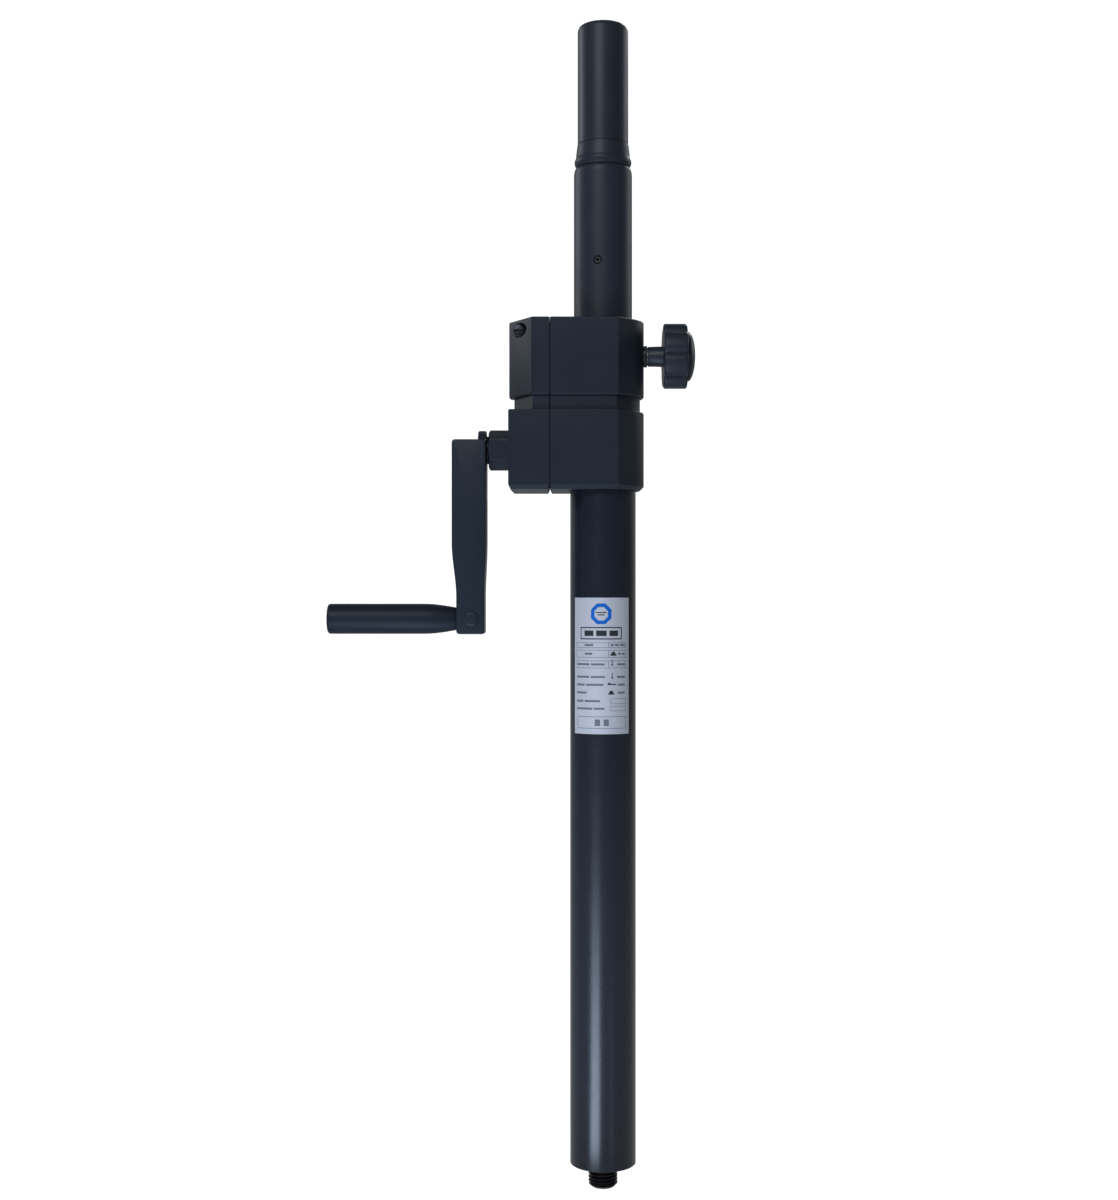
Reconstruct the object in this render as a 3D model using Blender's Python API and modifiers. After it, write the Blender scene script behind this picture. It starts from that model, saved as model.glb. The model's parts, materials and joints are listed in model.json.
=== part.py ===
"""Crank lift pole: a geared telescopic pole with a threaded stud below and a 35 mm spigot on top.

The frame has +Z up and its origin on the pole's axis, at the flat lower end of the outer tube.
The crank is on the -X side, the clamp knob on the +X side and the rating label faces -Y.
Lengths below are in millimetres and MM turns them into the scene's metres.
"""
import math

import bmesh
import bpy
from mathutils import Matrix, Vector

MM = 0.001

# Tubes
OUTER_TUBE_R = 22.5
OUTER_TUBE_BORE = 21.0
OUTER_TUBE_TOP = 496.0
INNER_TUBE_R = 20.0
INNER_TUBE_BORE = 18.0
INNER_TUBE_LOW = 91.8
INNER_TUBE_SHOULDER = 676.0
INNER_TUBE_TOP = 682.0
GUIDE_BORE = 20.22
SPIGOT_TOP = 780.0
STUD_LOW = -16.0
STUD_R = 10.0

# Gear housing, which is split along the wheel's axle
SEAM_X = -36.4
HOUSING_LOW = 460.6
NECK_LOW = 514.0
NECK_HIGH = 524.0
HOUSING_TOP = 576.0
HOUSING_HALF_DEPTH = 30.0
HOUSING_RIGHT_R = 28.0
HOUSING_LEFT = -64.3
NOSE_SHOULDER_X = -48.5
NOSE_HALF_WIDTH = 4.0
FIT_GAP = 0.3
CUT_PAST = 2.0

# Gear train: worm on the crank shaft, wheel on the seam, rack in the inner tube
MODULE = 2.0
WHEEL_TEETH = 19
PITCH = math.pi * MODULE
WHEEL_PITCH_R = MODULE * WHEEL_TEETH / 2
WHEEL_TIP_R = 20.6
WHEEL_ROOT_R = 16.9
WHEEL_HALF_WIDTH = 5.0
TOOTH_THICKNESS = 2.5
PRESSURE_ANGLE = math.radians(20)
WORM_PITCH_R = 7.0
WORM_CORE_R = 5.0
WORM_CREST_R = 8.6
LEAD_SLOPE = PITCH / (2 * math.pi * WORM_PITCH_R)
CRANK_Z = 488.7
AXLE_Z = CRANK_Z + WORM_PITCH_R + WHEEL_PITCH_R
RACK_PITCH_X = SEAM_X + WHEEL_PITCH_R
RACK_TEETH_ABOVE = 2
RACK_TEETH_BELOW = 62
RACK_HALF_WIDTH = 4.9

# Crank and folding grip
ARM_LEFT = -103.1
ARM_RIGHT = -79.8
ARM_TOP = 495.2
ARM_LOW = 362.7
ARM_HALF_WIDTH = 15.0
FOLD_X = -89.7
FOLD_Z = 373.1
GRIP_R = 10.35
GRIP_NECK_R = 7.85
GRIP_END = -188.9

# Clamp knob
CLAMP_Z = 553.1
KNOB_R = 22.5
KNOB_LOBES = 7

TUBE_STEPS = 36
ROUND_STEPS = 20
SMALL_STEPS = 12

# Each frame turns a piece's own Z axis to the world axis it is named for.
AXIS_FRAMES = {
    "Z": Matrix.Identity(4),
    "X": Matrix(((0, 0, 1, 0), (0, -1, 0, 0), (1, 0, 0, 0), (0, 0, 0, 1))),
    "Y": Matrix(((1, 0, 0, 0), (0, 0, 1, 0), (0, -1, 0, 0), (0, 0, 0, 1))),
    "-Y": Matrix(((1, 0, 0, 0), (0, 0, -1, 0), (0, 1, 0, 0), (0, 0, 0, 1))),
}

for old in list(bpy.data.objects):
    bpy.data.objects.remove(old, do_unlink=True)

parts = bpy.data.collections.new("crank_lift_pole")
cutters = bpy.data.collections.new("cutters")
bpy.context.scene.collection.children.link(parts)
bpy.context.scene.collection.children.link(cutters)


# ---------------------------------------------------------------- materials

def finish(name, color, roughness, metallic):
    material = bpy.data.materials.new(name)
    material.use_nodes = True
    shader = material.node_tree.nodes["Principled BSDF"]
    shader.inputs["Base Color"].default_value = (*color, 1)
    shader.inputs["Roughness"].default_value = roughness
    shader.inputs["Metallic"].default_value = metallic
    return material


BLACK_PAINT = ((0.016, 0.021, 0.031), 0.4, 0.0)
BLACK_SATIN = ((0.022, 0.027, 0.036), 0.5, 0.0)
BLACK_PLASTIC = ((0.02, 0.022, 0.026), 0.6, 0.0)
GREY_PLASTIC = ((0.2, 0.2, 0.19), 0.5, 0.0)
STEEL = ((0.5, 0.5, 0.5), 0.35, 1.0)
BLACK_STEEL = ((0.03, 0.03, 0.035), 0.45, 0.8)
BRASS = ((0.6, 0.42, 0.16), 0.35, 1.0)
SILVER_FILM = ((0.6, 0.62, 0.66), 0.4, 0.3)


# ---------------------------------------------------------------- shape helpers

def add_object(name, mesh, look):
    piece = bpy.data.objects.new(name, mesh)
    mesh.materials.append(finish(name, *look))
    parts.objects.link(piece)
    return piece


def place(piece, axis, at):
    piece.matrix_world = Matrix.Translation(Vector(at) * MM) @ AXIS_FRAMES[axis]


def turned(name, look, profile, at=(0, 0, 0), axis="Z", steps=ROUND_STEPS, smooth=True):
    """Turn a profile of (radius, height) points, which runs down its outer side.

    A profile that starts and ends on the axis is solid. Any other is closed into a ring.
    """
    mesh = bpy.data.meshes.new(name)
    points = [(radius * MM, 0, height * MM) for radius, height in profile]
    edges = [(i, i + 1) for i in range(len(points) - 1)]
    if profile[0][0] > 0:
        edges.append((len(points) - 1, 0))
    mesh.from_pydata(points, edges, [])
    piece = add_object(name, mesh, look)
    screw = piece.modifiers.new("turn", "SCREW")
    screw.axis = "Z"
    screw.steps = steps
    screw.render_steps = steps
    screw.use_merge_vertices = True
    screw.merge_threshold = 0.00001
    screw.use_smooth_shade = smooth
    place(piece, axis, at)
    return piece


def rod(name, look, radius, low, high, at=(0, 0, 0), axis="Z", steps=SMALL_STEPS, chamfer=0.0):
    """A solid round bar from low to high along its axis, with chamfered ends if asked."""
    if chamfer:
        profile = [(0, high), (radius - chamfer, high), (radius, high - chamfer),
                   (radius, low + chamfer), (radius - chamfer, low), (0, low)]
    else:
        profile = [(0, high), (radius, high), (radius, low), (0, low)]
    return turned(name, look, profile, at, axis, steps)


def ring(name, look, radius, bore, low, high, at=(0, 0, 0), axis="Z", steps=ROUND_STEPS):
    """A round sleeve from low to high along its axis."""
    return turned(name, look, [(radius, high), (radius, low), (bore, low), (bore, high)], at, axis, steps)


def hex_nut(name, look, corner_r, bore, low, high, at=(0, 0, 0), axis="Z"):
    """A six-sided nut, its corners at corner_r, with a round hole."""
    profile = [(0, high), (corner_r, high), (corner_r, low), (0, low)]
    nut = turned(name, look, profile, at, axis, 6, smooth=False)
    cut(nut, rod(name + "_hole", look, bore, low - 2, high + 2, at, axis))
    return nut


def plate(name, look, outline, low, high, axis="Z", at=(0, 0, 0)):
    """Extrude a flat outline from low to high along the named axis."""
    curve = bpy.data.curves.new(name, "CURVE")
    curve.dimensions = "2D"
    curve.fill_mode = "BOTH"
    curve.extrude = (high - low) / 2 * MM
    spline = curve.splines.new("POLY")
    spline.points.add(len(outline) - 1)
    spline.use_cyclic_u = True
    for point, (x, y) in zip(spline.points, outline):
        point.co = (x * MM, y * MM, 0, 1)
    outline_object = bpy.data.objects.new(name + "_outline", curve)
    cutters.objects.link(outline_object)
    bpy.context.view_layer.update()
    evaluated = outline_object.evaluated_get(bpy.context.evaluated_depsgraph_get())
    mesh = bpy.data.meshes.new_from_object(evaluated)
    bpy.data.objects.remove(outline_object, do_unlink=True)
    shape = bmesh.new()
    shape.from_mesh(mesh)
    bmesh.ops.remove_doubles(shape, verts=shape.verts, dist=0.000001)
    bmesh.ops.translate(shape, verts=shape.verts, vec=(0, 0, (high + low) / 2 * MM))
    bmesh.ops.dissolve_limit(shape, angle_limit=0.001, verts=shape.verts, edges=shape.edges)
    bmesh.ops.recalc_face_normals(shape, faces=shape.faces)
    shape.to_mesh(mesh)
    shape.free()
    mesh.materials.clear()
    piece = add_object(name, mesh, look)
    place(piece, axis, at)
    return piece


def block(name, look, x, y, z):
    """A box between the two limits given along each axis."""
    shape = bmesh.new()
    bmesh.ops.create_cube(shape, size=1)
    size = Vector((x[1] - x[0], y[1] - y[0], z[1] - z[0])) * MM
    bmesh.ops.scale(shape, verts=shape.verts, vec=size)
    middle = Vector(((x[0] + x[1]) / 2, (y[0] + y[1]) / 2, (z[0] + z[1]) / 2)) * MM
    bmesh.ops.translate(shape, verts=shape.verts, vec=middle)
    mesh = bpy.data.meshes.new(name)
    shape.to_mesh(mesh)
    shape.free()
    return add_object(name, mesh, look)


def round_edges(piece, width, segments=1, angle=30):
    bevel = piece.modifiers.new("edges", "BEVEL")
    bevel.width = width * MM
    bevel.segments = segments
    bevel.limit_method = "ANGLE"
    bevel.angle_limit = math.radians(angle)


# The castings' many crossing pockets need the manifold solver.
CASTINGS = ("gear_housing", "gear_cover")


def combine(piece, tools, operation):
    for tool in tools:
        boolean = piece.modifiers.new(tool.name, "BOOLEAN")
        boolean.object = tool
        boolean.operation = operation
        boolean.solver = "MANIFOLD" if piece.name in CASTINGS else "EXACT"
        parts.objects.unlink(tool)
        cutters.objects.link(tool)
        tool.hide_render = True
        tool.display_type = "WIRE"
    weld = piece.modifiers.get("tidy") or piece.modifiers.new("tidy", "WELD")
    weld.merge_threshold = 0.00001
    piece.modifiers.move(piece.modifiers.find("tidy"), len(piece.modifiers) - 1)


def cut(piece, *tools):
    combine(piece, tools, "DIFFERENCE")


def join(piece, *tools):
    combine(piece, tools, "UNION")


def arc(radius, start, end, count, center=(0, 0)):
    """Points along an arc, with angles in degrees from the outline's first axis."""
    angles = [math.radians(start + (end - start) * i / count) for i in range(count + 1)]
    return [(center[0] + radius * math.cos(a), center[1] + radius * math.sin(a)) for a in angles]


# ---------------------------------------------------------------- lower pole

ring("lower_tube", BLACK_PAINT, OUTER_TUBE_R, OUTER_TUBE_BORE, 0, OUTER_TUBE_TOP, steps=TUBE_STEPS)

PLUG_TOP = 22.0
STUD_TOP = 37.0
LOCK_NUT_R = 17.2
LOCK_NUT_HEIGHT = 12.0
STOP_TUBE_R = 20.5
STOP_TUBE_BORE = 18.3
STOP_TUBE_TOP = 79.2
ring("base_plug", STEEL, OUTER_TUBE_BORE - FIT_GAP, STUD_R + FIT_GAP, 0, PLUG_TOP, steps=TUBE_STEPS)
rod("mounting_stud", BLACK_STEEL, STUD_R, STUD_LOW, STUD_TOP, steps=ROUND_STEPS, chamfer=1.8)
hex_nut("stud_lock_nut", STEEL, LOCK_NUT_R, STUD_R + 0.5,
        PLUG_TOP + FIT_GAP, PLUG_TOP + FIT_GAP + LOCK_NUT_HEIGHT)
ring("stop_tube", GREY_PLASTIC, STOP_TUBE_R, STOP_TUBE_BORE, PLUG_TOP + FIT_GAP, STOP_TUBE_TOP)

LABEL_LOW = 295.5
LABEL_HIGH = 388.5
LABEL_LEFT = -147.0
LABEL_RIGHT = -39.0
LABEL_INNER_R = OUTER_TUBE_R + 0.12
LABEL_OUTER_R = OUTER_TUBE_R + 0.25
LABEL_STEPS = 18
label_outer = arc(LABEL_OUTER_R, LABEL_LEFT, LABEL_RIGHT, LABEL_STEPS)
label_inner = arc(LABEL_INNER_R, LABEL_RIGHT, LABEL_LEFT, LABEL_STEPS)
plate("rating_label", SILVER_FILM, label_outer + label_inner, LABEL_LOW, LABEL_HIGH)

LINER_LOW = 472.0
LINER_TOP = 497.8
LINER_R = 20.75
LINER_RIM_R = 22.3
GUIDE_BUSH_LOW = 560.3
GUIDE_BUSH_TOP = 575.4
GUIDE_BUSH_R = 22.7
turned("tube_liner", GREY_PLASTIC,
       [(LINER_RIM_R, LINER_TOP), (LINER_RIM_R, OUTER_TUBE_TOP + FIT_GAP),
        (LINER_R, OUTER_TUBE_TOP + FIT_GAP), (LINER_R, LINER_LOW), (GUIDE_BORE, LINER_LOW),
        (GUIDE_BORE, LINER_TOP)], steps=TUBE_STEPS)
ring("top_guide_bush", GREY_PLASTIC, GUIDE_BUSH_R, GUIDE_BORE, GUIDE_BUSH_LOW, GUIDE_BUSH_TOP,
     steps=TUBE_STEPS)


# ---------------------------------------------------------------- gear housing

def housing_plan(inset):
    """Outline of the main casting: flat front and back, 45 degree facets and a round right side."""
    radius = HOUSING_RIGHT_R - inset
    depth = HOUSING_HALF_DEPTH - inset
    corner = radius * math.sin(math.radians(45))
    facet = corner - (depth - corner)
    seam = SEAM_X + FIT_GAP / 2 + inset / 10
    right = arc(radius, -45, 45, 10)
    return [(seam, -depth), (facet, -depth)] + right + [(facet, depth), (seam, depth)]


def nose_plan(left, shoulder, depth, half_width):
    """Outline of the cover's upper block, which narrows to a blunt nose on the crank side."""
    seam = SEAM_X - FIT_GAP / 2 - (HOUSING_HALF_DEPTH - depth) / 10
    return [(seam, -depth), (seam, depth), (shoulder, depth), (left, half_width),
            (left, -half_width), (shoulder, -depth)]


NECK_INSET = 2.6
NECK_OVERLAP = 4.0
CAST_CHAMFER = 1.0
TUBE_SOCKET_R = 22.8
TUBE_SOCKET_TOP = 498.4
MAST_BORE_R = 20.6
GUIDE_SEAT_R = 23.0
GUIDE_SEAT_LOW = 560.0
WHEEL_POCKET_R = 21.2
WHEEL_POCKET_HALF = 5.7
WORM_POCKET_R = 9.3
WORM_POCKET_LEFT = -50.9
BEARING_HOLE_R = 8.6
BUSH_POCKET_R = 6.3
AXLE_SEAT_R = 3.3
AXLE_SEAT_HALF = 14.0
BUSH_LEFT = -28.3
BUSH_RIGHT = -24.1
TONGUE_LEFT = -60.0
TONGUE_LOW = 560.4
TONGUE_HIGH = 573.6
TONGUE_HALF_WIDTH = 6.0
CROSS_X = -57.0
CROSS_Z = 568.8
CROSS_HOLE_R = 2.3
CROSS_SEAT_R = 4.9
CROSS_SEAT_Y = 11.5
INSERT_HOLE_R = 7.1
INSERT_HOLE_X = 25.4
PAD_HOLE_R = 5.9
LOCK_HOLE_R = 2.8
SCREW_HOLE_R = 2.6
HEAD_RECESS_R = 4.6
HEAD_RECESS_X = -59.5
COVER_SCREW_Y = 22.0
COVER_SCREW_HEIGHTS = {"lower": 470.0, "upper": 505.0}
SIDES = {"front": -1, "back": 1}
LOCK_SCREW_HEIGHTS = {"lower": 470.0, "upper": 486.0}

housing = plate("gear_housing", BLACK_SATIN, housing_plan(0), HOUSING_LOW, NECK_LOW)
round_edges(housing, CAST_CHAMFER)
upper = plate("housing_upper_block", BLACK_SATIN, housing_plan(0), NECK_HIGH, HOUSING_TOP)
round_edges(upper, CAST_CHAMFER)
neck = plate("housing_neck", BLACK_SATIN, housing_plan(NECK_INSET),
             NECK_LOW - NECK_OVERLAP, NECK_HIGH + NECK_OVERLAP)
tongue = block("housing_tongue", BLACK_SATIN, (TONGUE_LEFT, SEAM_X + 5),
               (-TONGUE_HALF_WIDTH, TONGUE_HALF_WIDTH), (TONGUE_LOW, TONGUE_HIGH))
join(housing, neck, upper, tongue)
cut(housing,
    rod("tube_socket", BLACK_SATIN, TUBE_SOCKET_R, HOUSING_LOW - CUT_PAST, TUBE_SOCKET_TOP, steps=TUBE_STEPS),
    rod("mast_bore", BLACK_SATIN, MAST_BORE_R, 490, HOUSING_TOP + CUT_PAST, steps=TUBE_STEPS),
    rod("bush_seat", BLACK_SATIN, GUIDE_SEAT_R, GUIDE_SEAT_LOW, HOUSING_TOP + CUT_PAST, steps=TUBE_STEPS),
    rod("wheel_pocket", BLACK_SATIN, WHEEL_POCKET_R, -WHEEL_POCKET_HALF, WHEEL_POCKET_HALF,
        at=(SEAM_X, 0, AXLE_Z), axis="Y", steps=ROUND_STEPS),
    rod("worm_pocket", BLACK_SATIN, WORM_POCKET_R, -40, BUSH_LEFT - FIT_GAP, at=(0, 0, CRANK_Z), axis="X"),
    rod("bush_pocket", BLACK_SATIN, BUSH_POCKET_R, -32, BUSH_RIGHT + FIT_GAP, at=(0, 0, CRANK_Z), axis="X"),
    rod("axle_seat", BLACK_SATIN, AXLE_SEAT_R, -AXLE_SEAT_HALF, AXLE_SEAT_HALF,
        at=(SEAM_X, 0, AXLE_Z), axis="Y"),
    rod("tongue_hole", BLACK_SATIN, CROSS_HOLE_R, -8, 8, at=(CROSS_X, 0, CROSS_Z), axis="Y"),
    rod("insert_hole", BLACK_SATIN, INSERT_HOLE_R, INSERT_HOLE_X, 32, at=(0, 0, CLAMP_Z), axis="X"),
    rod("pad_hole", BLACK_SATIN, PAD_HOLE_R, 18, 26, at=(0, 0, CLAMP_Z), axis="X"))
for level, height in LOCK_SCREW_HEIGHTS.items():
    cut(housing, rod("lock_hole_" + level, BLACK_SATIN, LOCK_HOLE_R, 18, 32, at=(0, 0, height), axis="Y"))
for side, sign in SIDES.items():
    for level, height in COVER_SCREW_HEIGHTS.items():
        cut(housing, rod("screw_hole_" + side + "_" + level, BLACK_SATIN, SCREW_HOLE_R, -40, -20,
                         at=(0, sign * COVER_SCREW_Y, height), axis="X"))

cover = block("gear_cover", BLACK_SATIN, (HOUSING_LEFT, SEAM_X - FIT_GAP / 2),
              (-HOUSING_HALF_DEPTH, HOUSING_HALF_DEPTH), (HOUSING_LOW, NECK_LOW))
round_edges(cover, CAST_CHAMFER)
nose = plate("cover_nose", BLACK_SATIN,
             nose_plan(HOUSING_LEFT, NOSE_SHOULDER_X, HOUSING_HALF_DEPTH, NOSE_HALF_WIDTH),
             NECK_HIGH, HOUSING_TOP)
round_edges(nose, CAST_CHAMFER)
cover_neck = plate("cover_neck", BLACK_SATIN,
                   nose_plan(HOUSING_LEFT + 3.5, NOSE_SHOULDER_X + 1.2, HOUSING_HALF_DEPTH - NECK_INSET,
                             NOSE_HALF_WIDTH + 1),
                   NECK_LOW - NECK_OVERLAP, NECK_HIGH + NECK_OVERLAP)
join(cover, cover_neck, nose)
cut(cover,
    rod("cover_wheel_pocket", BLACK_SATIN, WHEEL_POCKET_R, -WHEEL_POCKET_HALF, WHEEL_POCKET_HALF,
        at=(SEAM_X, 0, AXLE_Z), axis="Y", steps=ROUND_STEPS),
    rod("cover_worm_pocket", BLACK_SATIN, WORM_POCKET_R, WORM_POCKET_LEFT, -30, at=(0, 0, CRANK_Z), axis="X"),
    rod("bearing_hole", BLACK_SATIN, BEARING_HOLE_R, -70, -50, at=(0, 0, CRANK_Z), axis="X"),
    rod("cover_axle_seat", BLACK_SATIN, AXLE_SEAT_R, -AXLE_SEAT_HALF, AXLE_SEAT_HALF,
        at=(SEAM_X, 0, AXLE_Z), axis="Y"),
    block("tongue_slot", BLACK_SATIN, (TONGUE_LEFT - FIT_GAP, SEAM_X + CUT_PAST),
          (-TONGUE_HALF_WIDTH - FIT_GAP, TONGUE_HALF_WIDTH + FIT_GAP),
          (TONGUE_LOW - FIT_GAP, TONGUE_HIGH + FIT_GAP)),
    rod("cross_hole", BLACK_SATIN, CROSS_HOLE_R, -20, 20, at=(CROSS_X, 0, CROSS_Z), axis="Y"),
    rod("cross_counterbore_front", BLACK_SATIN, CROSS_SEAT_R, -HOUSING_HALF_DEPTH, -CROSS_SEAT_Y,
        at=(CROSS_X, 0, CROSS_Z), axis="Y"),
    rod("cross_counterbore_back", BLACK_SATIN, CROSS_SEAT_R, CROSS_SEAT_Y, HOUSING_HALF_DEPTH,
        at=(CROSS_X, 0, CROSS_Z), axis="Y"))
for side, sign in SIDES.items():
    for level, height in COVER_SCREW_HEIGHTS.items():
        spot = (0, sign * COVER_SCREW_Y, height)
        cut(cover,
            rod("cover_hole_" + side + "_" + level, BLACK_SATIN, SCREW_HOLE_R, -70, -30, at=spot, axis="X"),
            rod("head_recess_" + side + "_" + level, BLACK_SATIN, HEAD_RECESS_R, -70, HEAD_RECESS_X,
                at=spot, axis="X"))


# ---------------------------------------------------------------- housing fasteners

def slotted_screw(name, look, head_r, head, shank_r, length, at, axis):
    """A cheese-head screw: its head starts at height 0 and its shank runs down the axis."""
    screw = turned(name, look, [(0, head), (head_r - 0.3, head), (head_r, head - 0.3), (head_r, 0),
                                (shank_r, 0), (shank_r, -length), (0, -length)], at, axis, SMALL_STEPS)
    slot = plate(name + "_slot", look, [(-head_r - 1, -0.5), (head_r + 1, -0.5),
                                        (head_r + 1, 0.5), (-head_r - 1, 0.5)],
                 head - 1.1, head + 1, axis, at)
    cut(screw, slot)
    return screw


def socket_screw(name, look, head_r, head, shank_r, length, socket_r, at, axis):
    """A cap screw with a hexagon socket: its head starts at height 0, its shank runs down the axis."""
    screw = turned(name, look, [(0, head), (head_r - 0.4, head), (head_r, head - 0.4), (head_r, 0),
                                (shank_r, 0), (shank_r, -length), (0, -length)], at, axis, SMALL_STEPS)
    cut(screw, rod(name + "_socket", look, socket_r, head - 2.2, head + 1, at, axis, steps=6))
    return screw


slotted_screw("cover_cross_screw", STEEL, 4.3, 3.0, 2.0, 25.8, at=(CROSS_X, -11.8, CROSS_Z), axis="-Y")
hex_nut("cover_cross_nut", STEEL, 4.04, 2.3, 11.8, 14.4, at=(CROSS_X, 0, CROSS_Z), axis="Y")
HEAD_SEAT_X = -59.8
for side, sign in SIDES.items():
    for level, height in COVER_SCREW_HEIGHTS.items():
        screw = socket_screw("cover_screw_" + side + "_" + level, BLACK_STEEL, 4.2, 4.0, 2.3, 38.0, 2.1,
                             at=(HEAD_SEAT_X, sign * COVER_SCREW_Y, height), axis="X")
        screw.matrix_world = screw.matrix_world @ Matrix.Rotation(math.pi, 4, "Y")
        socket = screw.modifiers[screw.name + "_socket"].object
        socket.matrix_world = socket.matrix_world @ Matrix.Rotation(math.pi, 4, "Y")
for level, height in LOCK_SCREW_HEIGHTS.items():
    lock = rod("tube_lock_screw_" + level, BLACK_STEEL, 2.5, 22.8, 29.4, at=(0, 0, height), axis="Y",
               chamfer=0.3)
    cut(lock, rod("lock_socket_" + level, BLACK_STEEL, 1.3, 27, 31, at=(0, 0, height), axis="Y", steps=6))


# ---------------------------------------------------------------- crank shaft and its bearing

BEARING_RIGHT = -50.6
HEX_RIGHT = -64.6
HEX_LEFT = -78.3
HEX_R = 14.0
HEX_EDGE = 1.6
BEARING_SHANK_R = 8.2
BEARING_BORE = 6.3
WORM_LEFT = -48.5
WORM_RIGHT = -28.6
WORM_PIN_X = -46.6

bearing = turned("crank_bearing_nut", BLACK_PAINT,
                 [(HEX_R, HEX_RIGHT), (HEX_R, HEX_LEFT + HEX_EDGE), (HEX_R - HEX_EDGE, HEX_LEFT),
                  (6.25, HEX_LEFT), (6.25, HEX_RIGHT)],
                 at=(0, 0, CRANK_Z), axis="X", steps=6, smooth=False)
join(bearing, ring("bearing_shank", BLACK_PAINT, BEARING_SHANK_R, 6.25, HEX_RIGHT - CUT_PAST, BEARING_RIGHT,
                   at=(0, 0, CRANK_Z), axis="X"))
cut(bearing, rod("bearing_bore", BLACK_PAINT, BEARING_BORE, HEX_LEFT - CUT_PAST, BEARING_RIGHT + CUT_PAST,
                 at=(0, 0, CRANK_Z), axis="X", steps=ROUND_STEPS))
ring("worm_end_bush", BRASS, BUSH_POCKET_R - FIT_GAP, 4.3, BUSH_LEFT, BUSH_RIGHT,
     at=(0, 0, CRANK_Z), axis="X", steps=SMALL_STEPS)

SHAFT_FLAT = 4.0
WORM_SEAT_R = 4.0
JOURNAL_R = 6.0
SHAFT_COLLAR_R = 9.5
ARM_SEAT_R = 5.0
ARM_SEAT_LEFT = -85.8
SHAFT_THREAD_R = 3.0
SHAFT_LEFT = -92.4
shaft = turned("worm_shaft", STEEL,
               [(0, BUSH_RIGHT), (WORM_SEAT_R, BUSH_RIGHT), (WORM_SEAT_R, BEARING_RIGHT + FIT_GAP),
                (JOURNAL_R, BEARING_RIGHT + FIT_GAP), (JOURNAL_R, HEX_LEFT - FIT_GAP),
                (SHAFT_COLLAR_R, HEX_LEFT - FIT_GAP), (SHAFT_COLLAR_R, ARM_RIGHT + FIT_GAP),
                (ARM_SEAT_R, ARM_RIGHT + FIT_GAP), (ARM_SEAT_R, ARM_SEAT_LEFT),
                (SHAFT_THREAD_R, ARM_SEAT_LEFT), (SHAFT_THREAD_R, SHAFT_LEFT), (0, SHAFT_LEFT)],
               at=(0, 0, CRANK_Z), axis="X", steps=ROUND_STEPS)
for side, sign in SIDES.items():
    flat = sorted((sign * SHAFT_FLAT, sign * 8))
    cut(shaft, block("shaft_flat_" + side, STEEL, (-87, ARM_RIGHT), flat, (CRANK_Z - 8, CRANK_Z + 8)))
PIN_HOLE_R = 1.3
cut(shaft, rod("shaft_pin_hole", STEEL, PIN_HOLE_R, CRANK_Z - 8, CRANK_Z + 8, at=(WORM_PIN_X, 0, 0)))


def worm_thread():
    """A left-hand thread of trapezium section, swept round the crank shaft's axis."""
    turns = 1.75
    steps = 35
    embedded = 0.5
    crest = TOOTH_THICKNESS / 2 - (WORM_CREST_R - WORM_PITCH_R) * math.tan(PRESSURE_ANGLE)
    root_r = WORM_CORE_R - embedded
    root = TOOTH_THICKNESS / 2 + (WORM_PITCH_R - root_r) * math.tan(PRESSURE_ANGLE)
    start_x = SEAM_X - PITCH / 4 + PITCH
    section = [(-root, root_r), (root, root_r), (crest, WORM_CREST_R), (-crest, WORM_CREST_R)]
    shape = bmesh.new()
    corners = [shape.verts.new(((start_x + x) * MM, 0, (CRANK_Z + r) * MM)) for x, r in section]
    face = shape.faces.new(corners)
    bmesh.ops.spin(shape, geom=[face], cent=(0, 0, CRANK_Z * MM), axis=(1, 0, 0),
                   dvec=(-PITCH * turns / steps * MM, 0, 0), angle=math.radians(360 * turns),
                   steps=steps, use_merge=False, use_duplicate=False)
    bmesh.ops.recalc_face_normals(shape, faces=shape.faces)
    mesh = bpy.data.meshes.new("worm_thread")
    shape.to_mesh(mesh)
    shape.free()
    return add_object("worm_thread", mesh, BRASS)


worm = rod("worm", BRASS, WORM_CORE_R, WORM_LEFT, WORM_RIGHT, at=(0, 0, CRANK_Z), axis="X",
           steps=ROUND_STEPS, chamfer=0.4)
join(worm, worm_thread())
cut(worm,
    rod("worm_bore", BRASS, WORM_SEAT_R + 0.25, WORM_LEFT - CUT_PAST, WORM_RIGHT + CUT_PAST,
        at=(0, 0, CRANK_Z), axis="X"),
    rod("worm_pin_hole", BRASS, PIN_HOLE_R, CRANK_Z - 8, CRANK_Z + 8, at=(WORM_PIN_X, 0, 0)))
rod("worm_pin", STEEL, 1.0, CRANK_Z - 4.7, CRANK_Z + 4.7, at=(WORM_PIN_X, 0, 0), steps=12)
THRUST_WASHER_LEFT = -50.1
ring("thrust_washer", BRASS, BEARING_SHANK_R, 4.4, THRUST_WASHER_LEFT, WORM_LEFT - FIT_GAP,
     at=(0, 0, CRANK_Z), axis="X", steps=SMALL_STEPS)


# ---------------------------------------------------------------- worm wheel and rack

def involute(angle):
    return math.tan(angle) - angle


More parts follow.
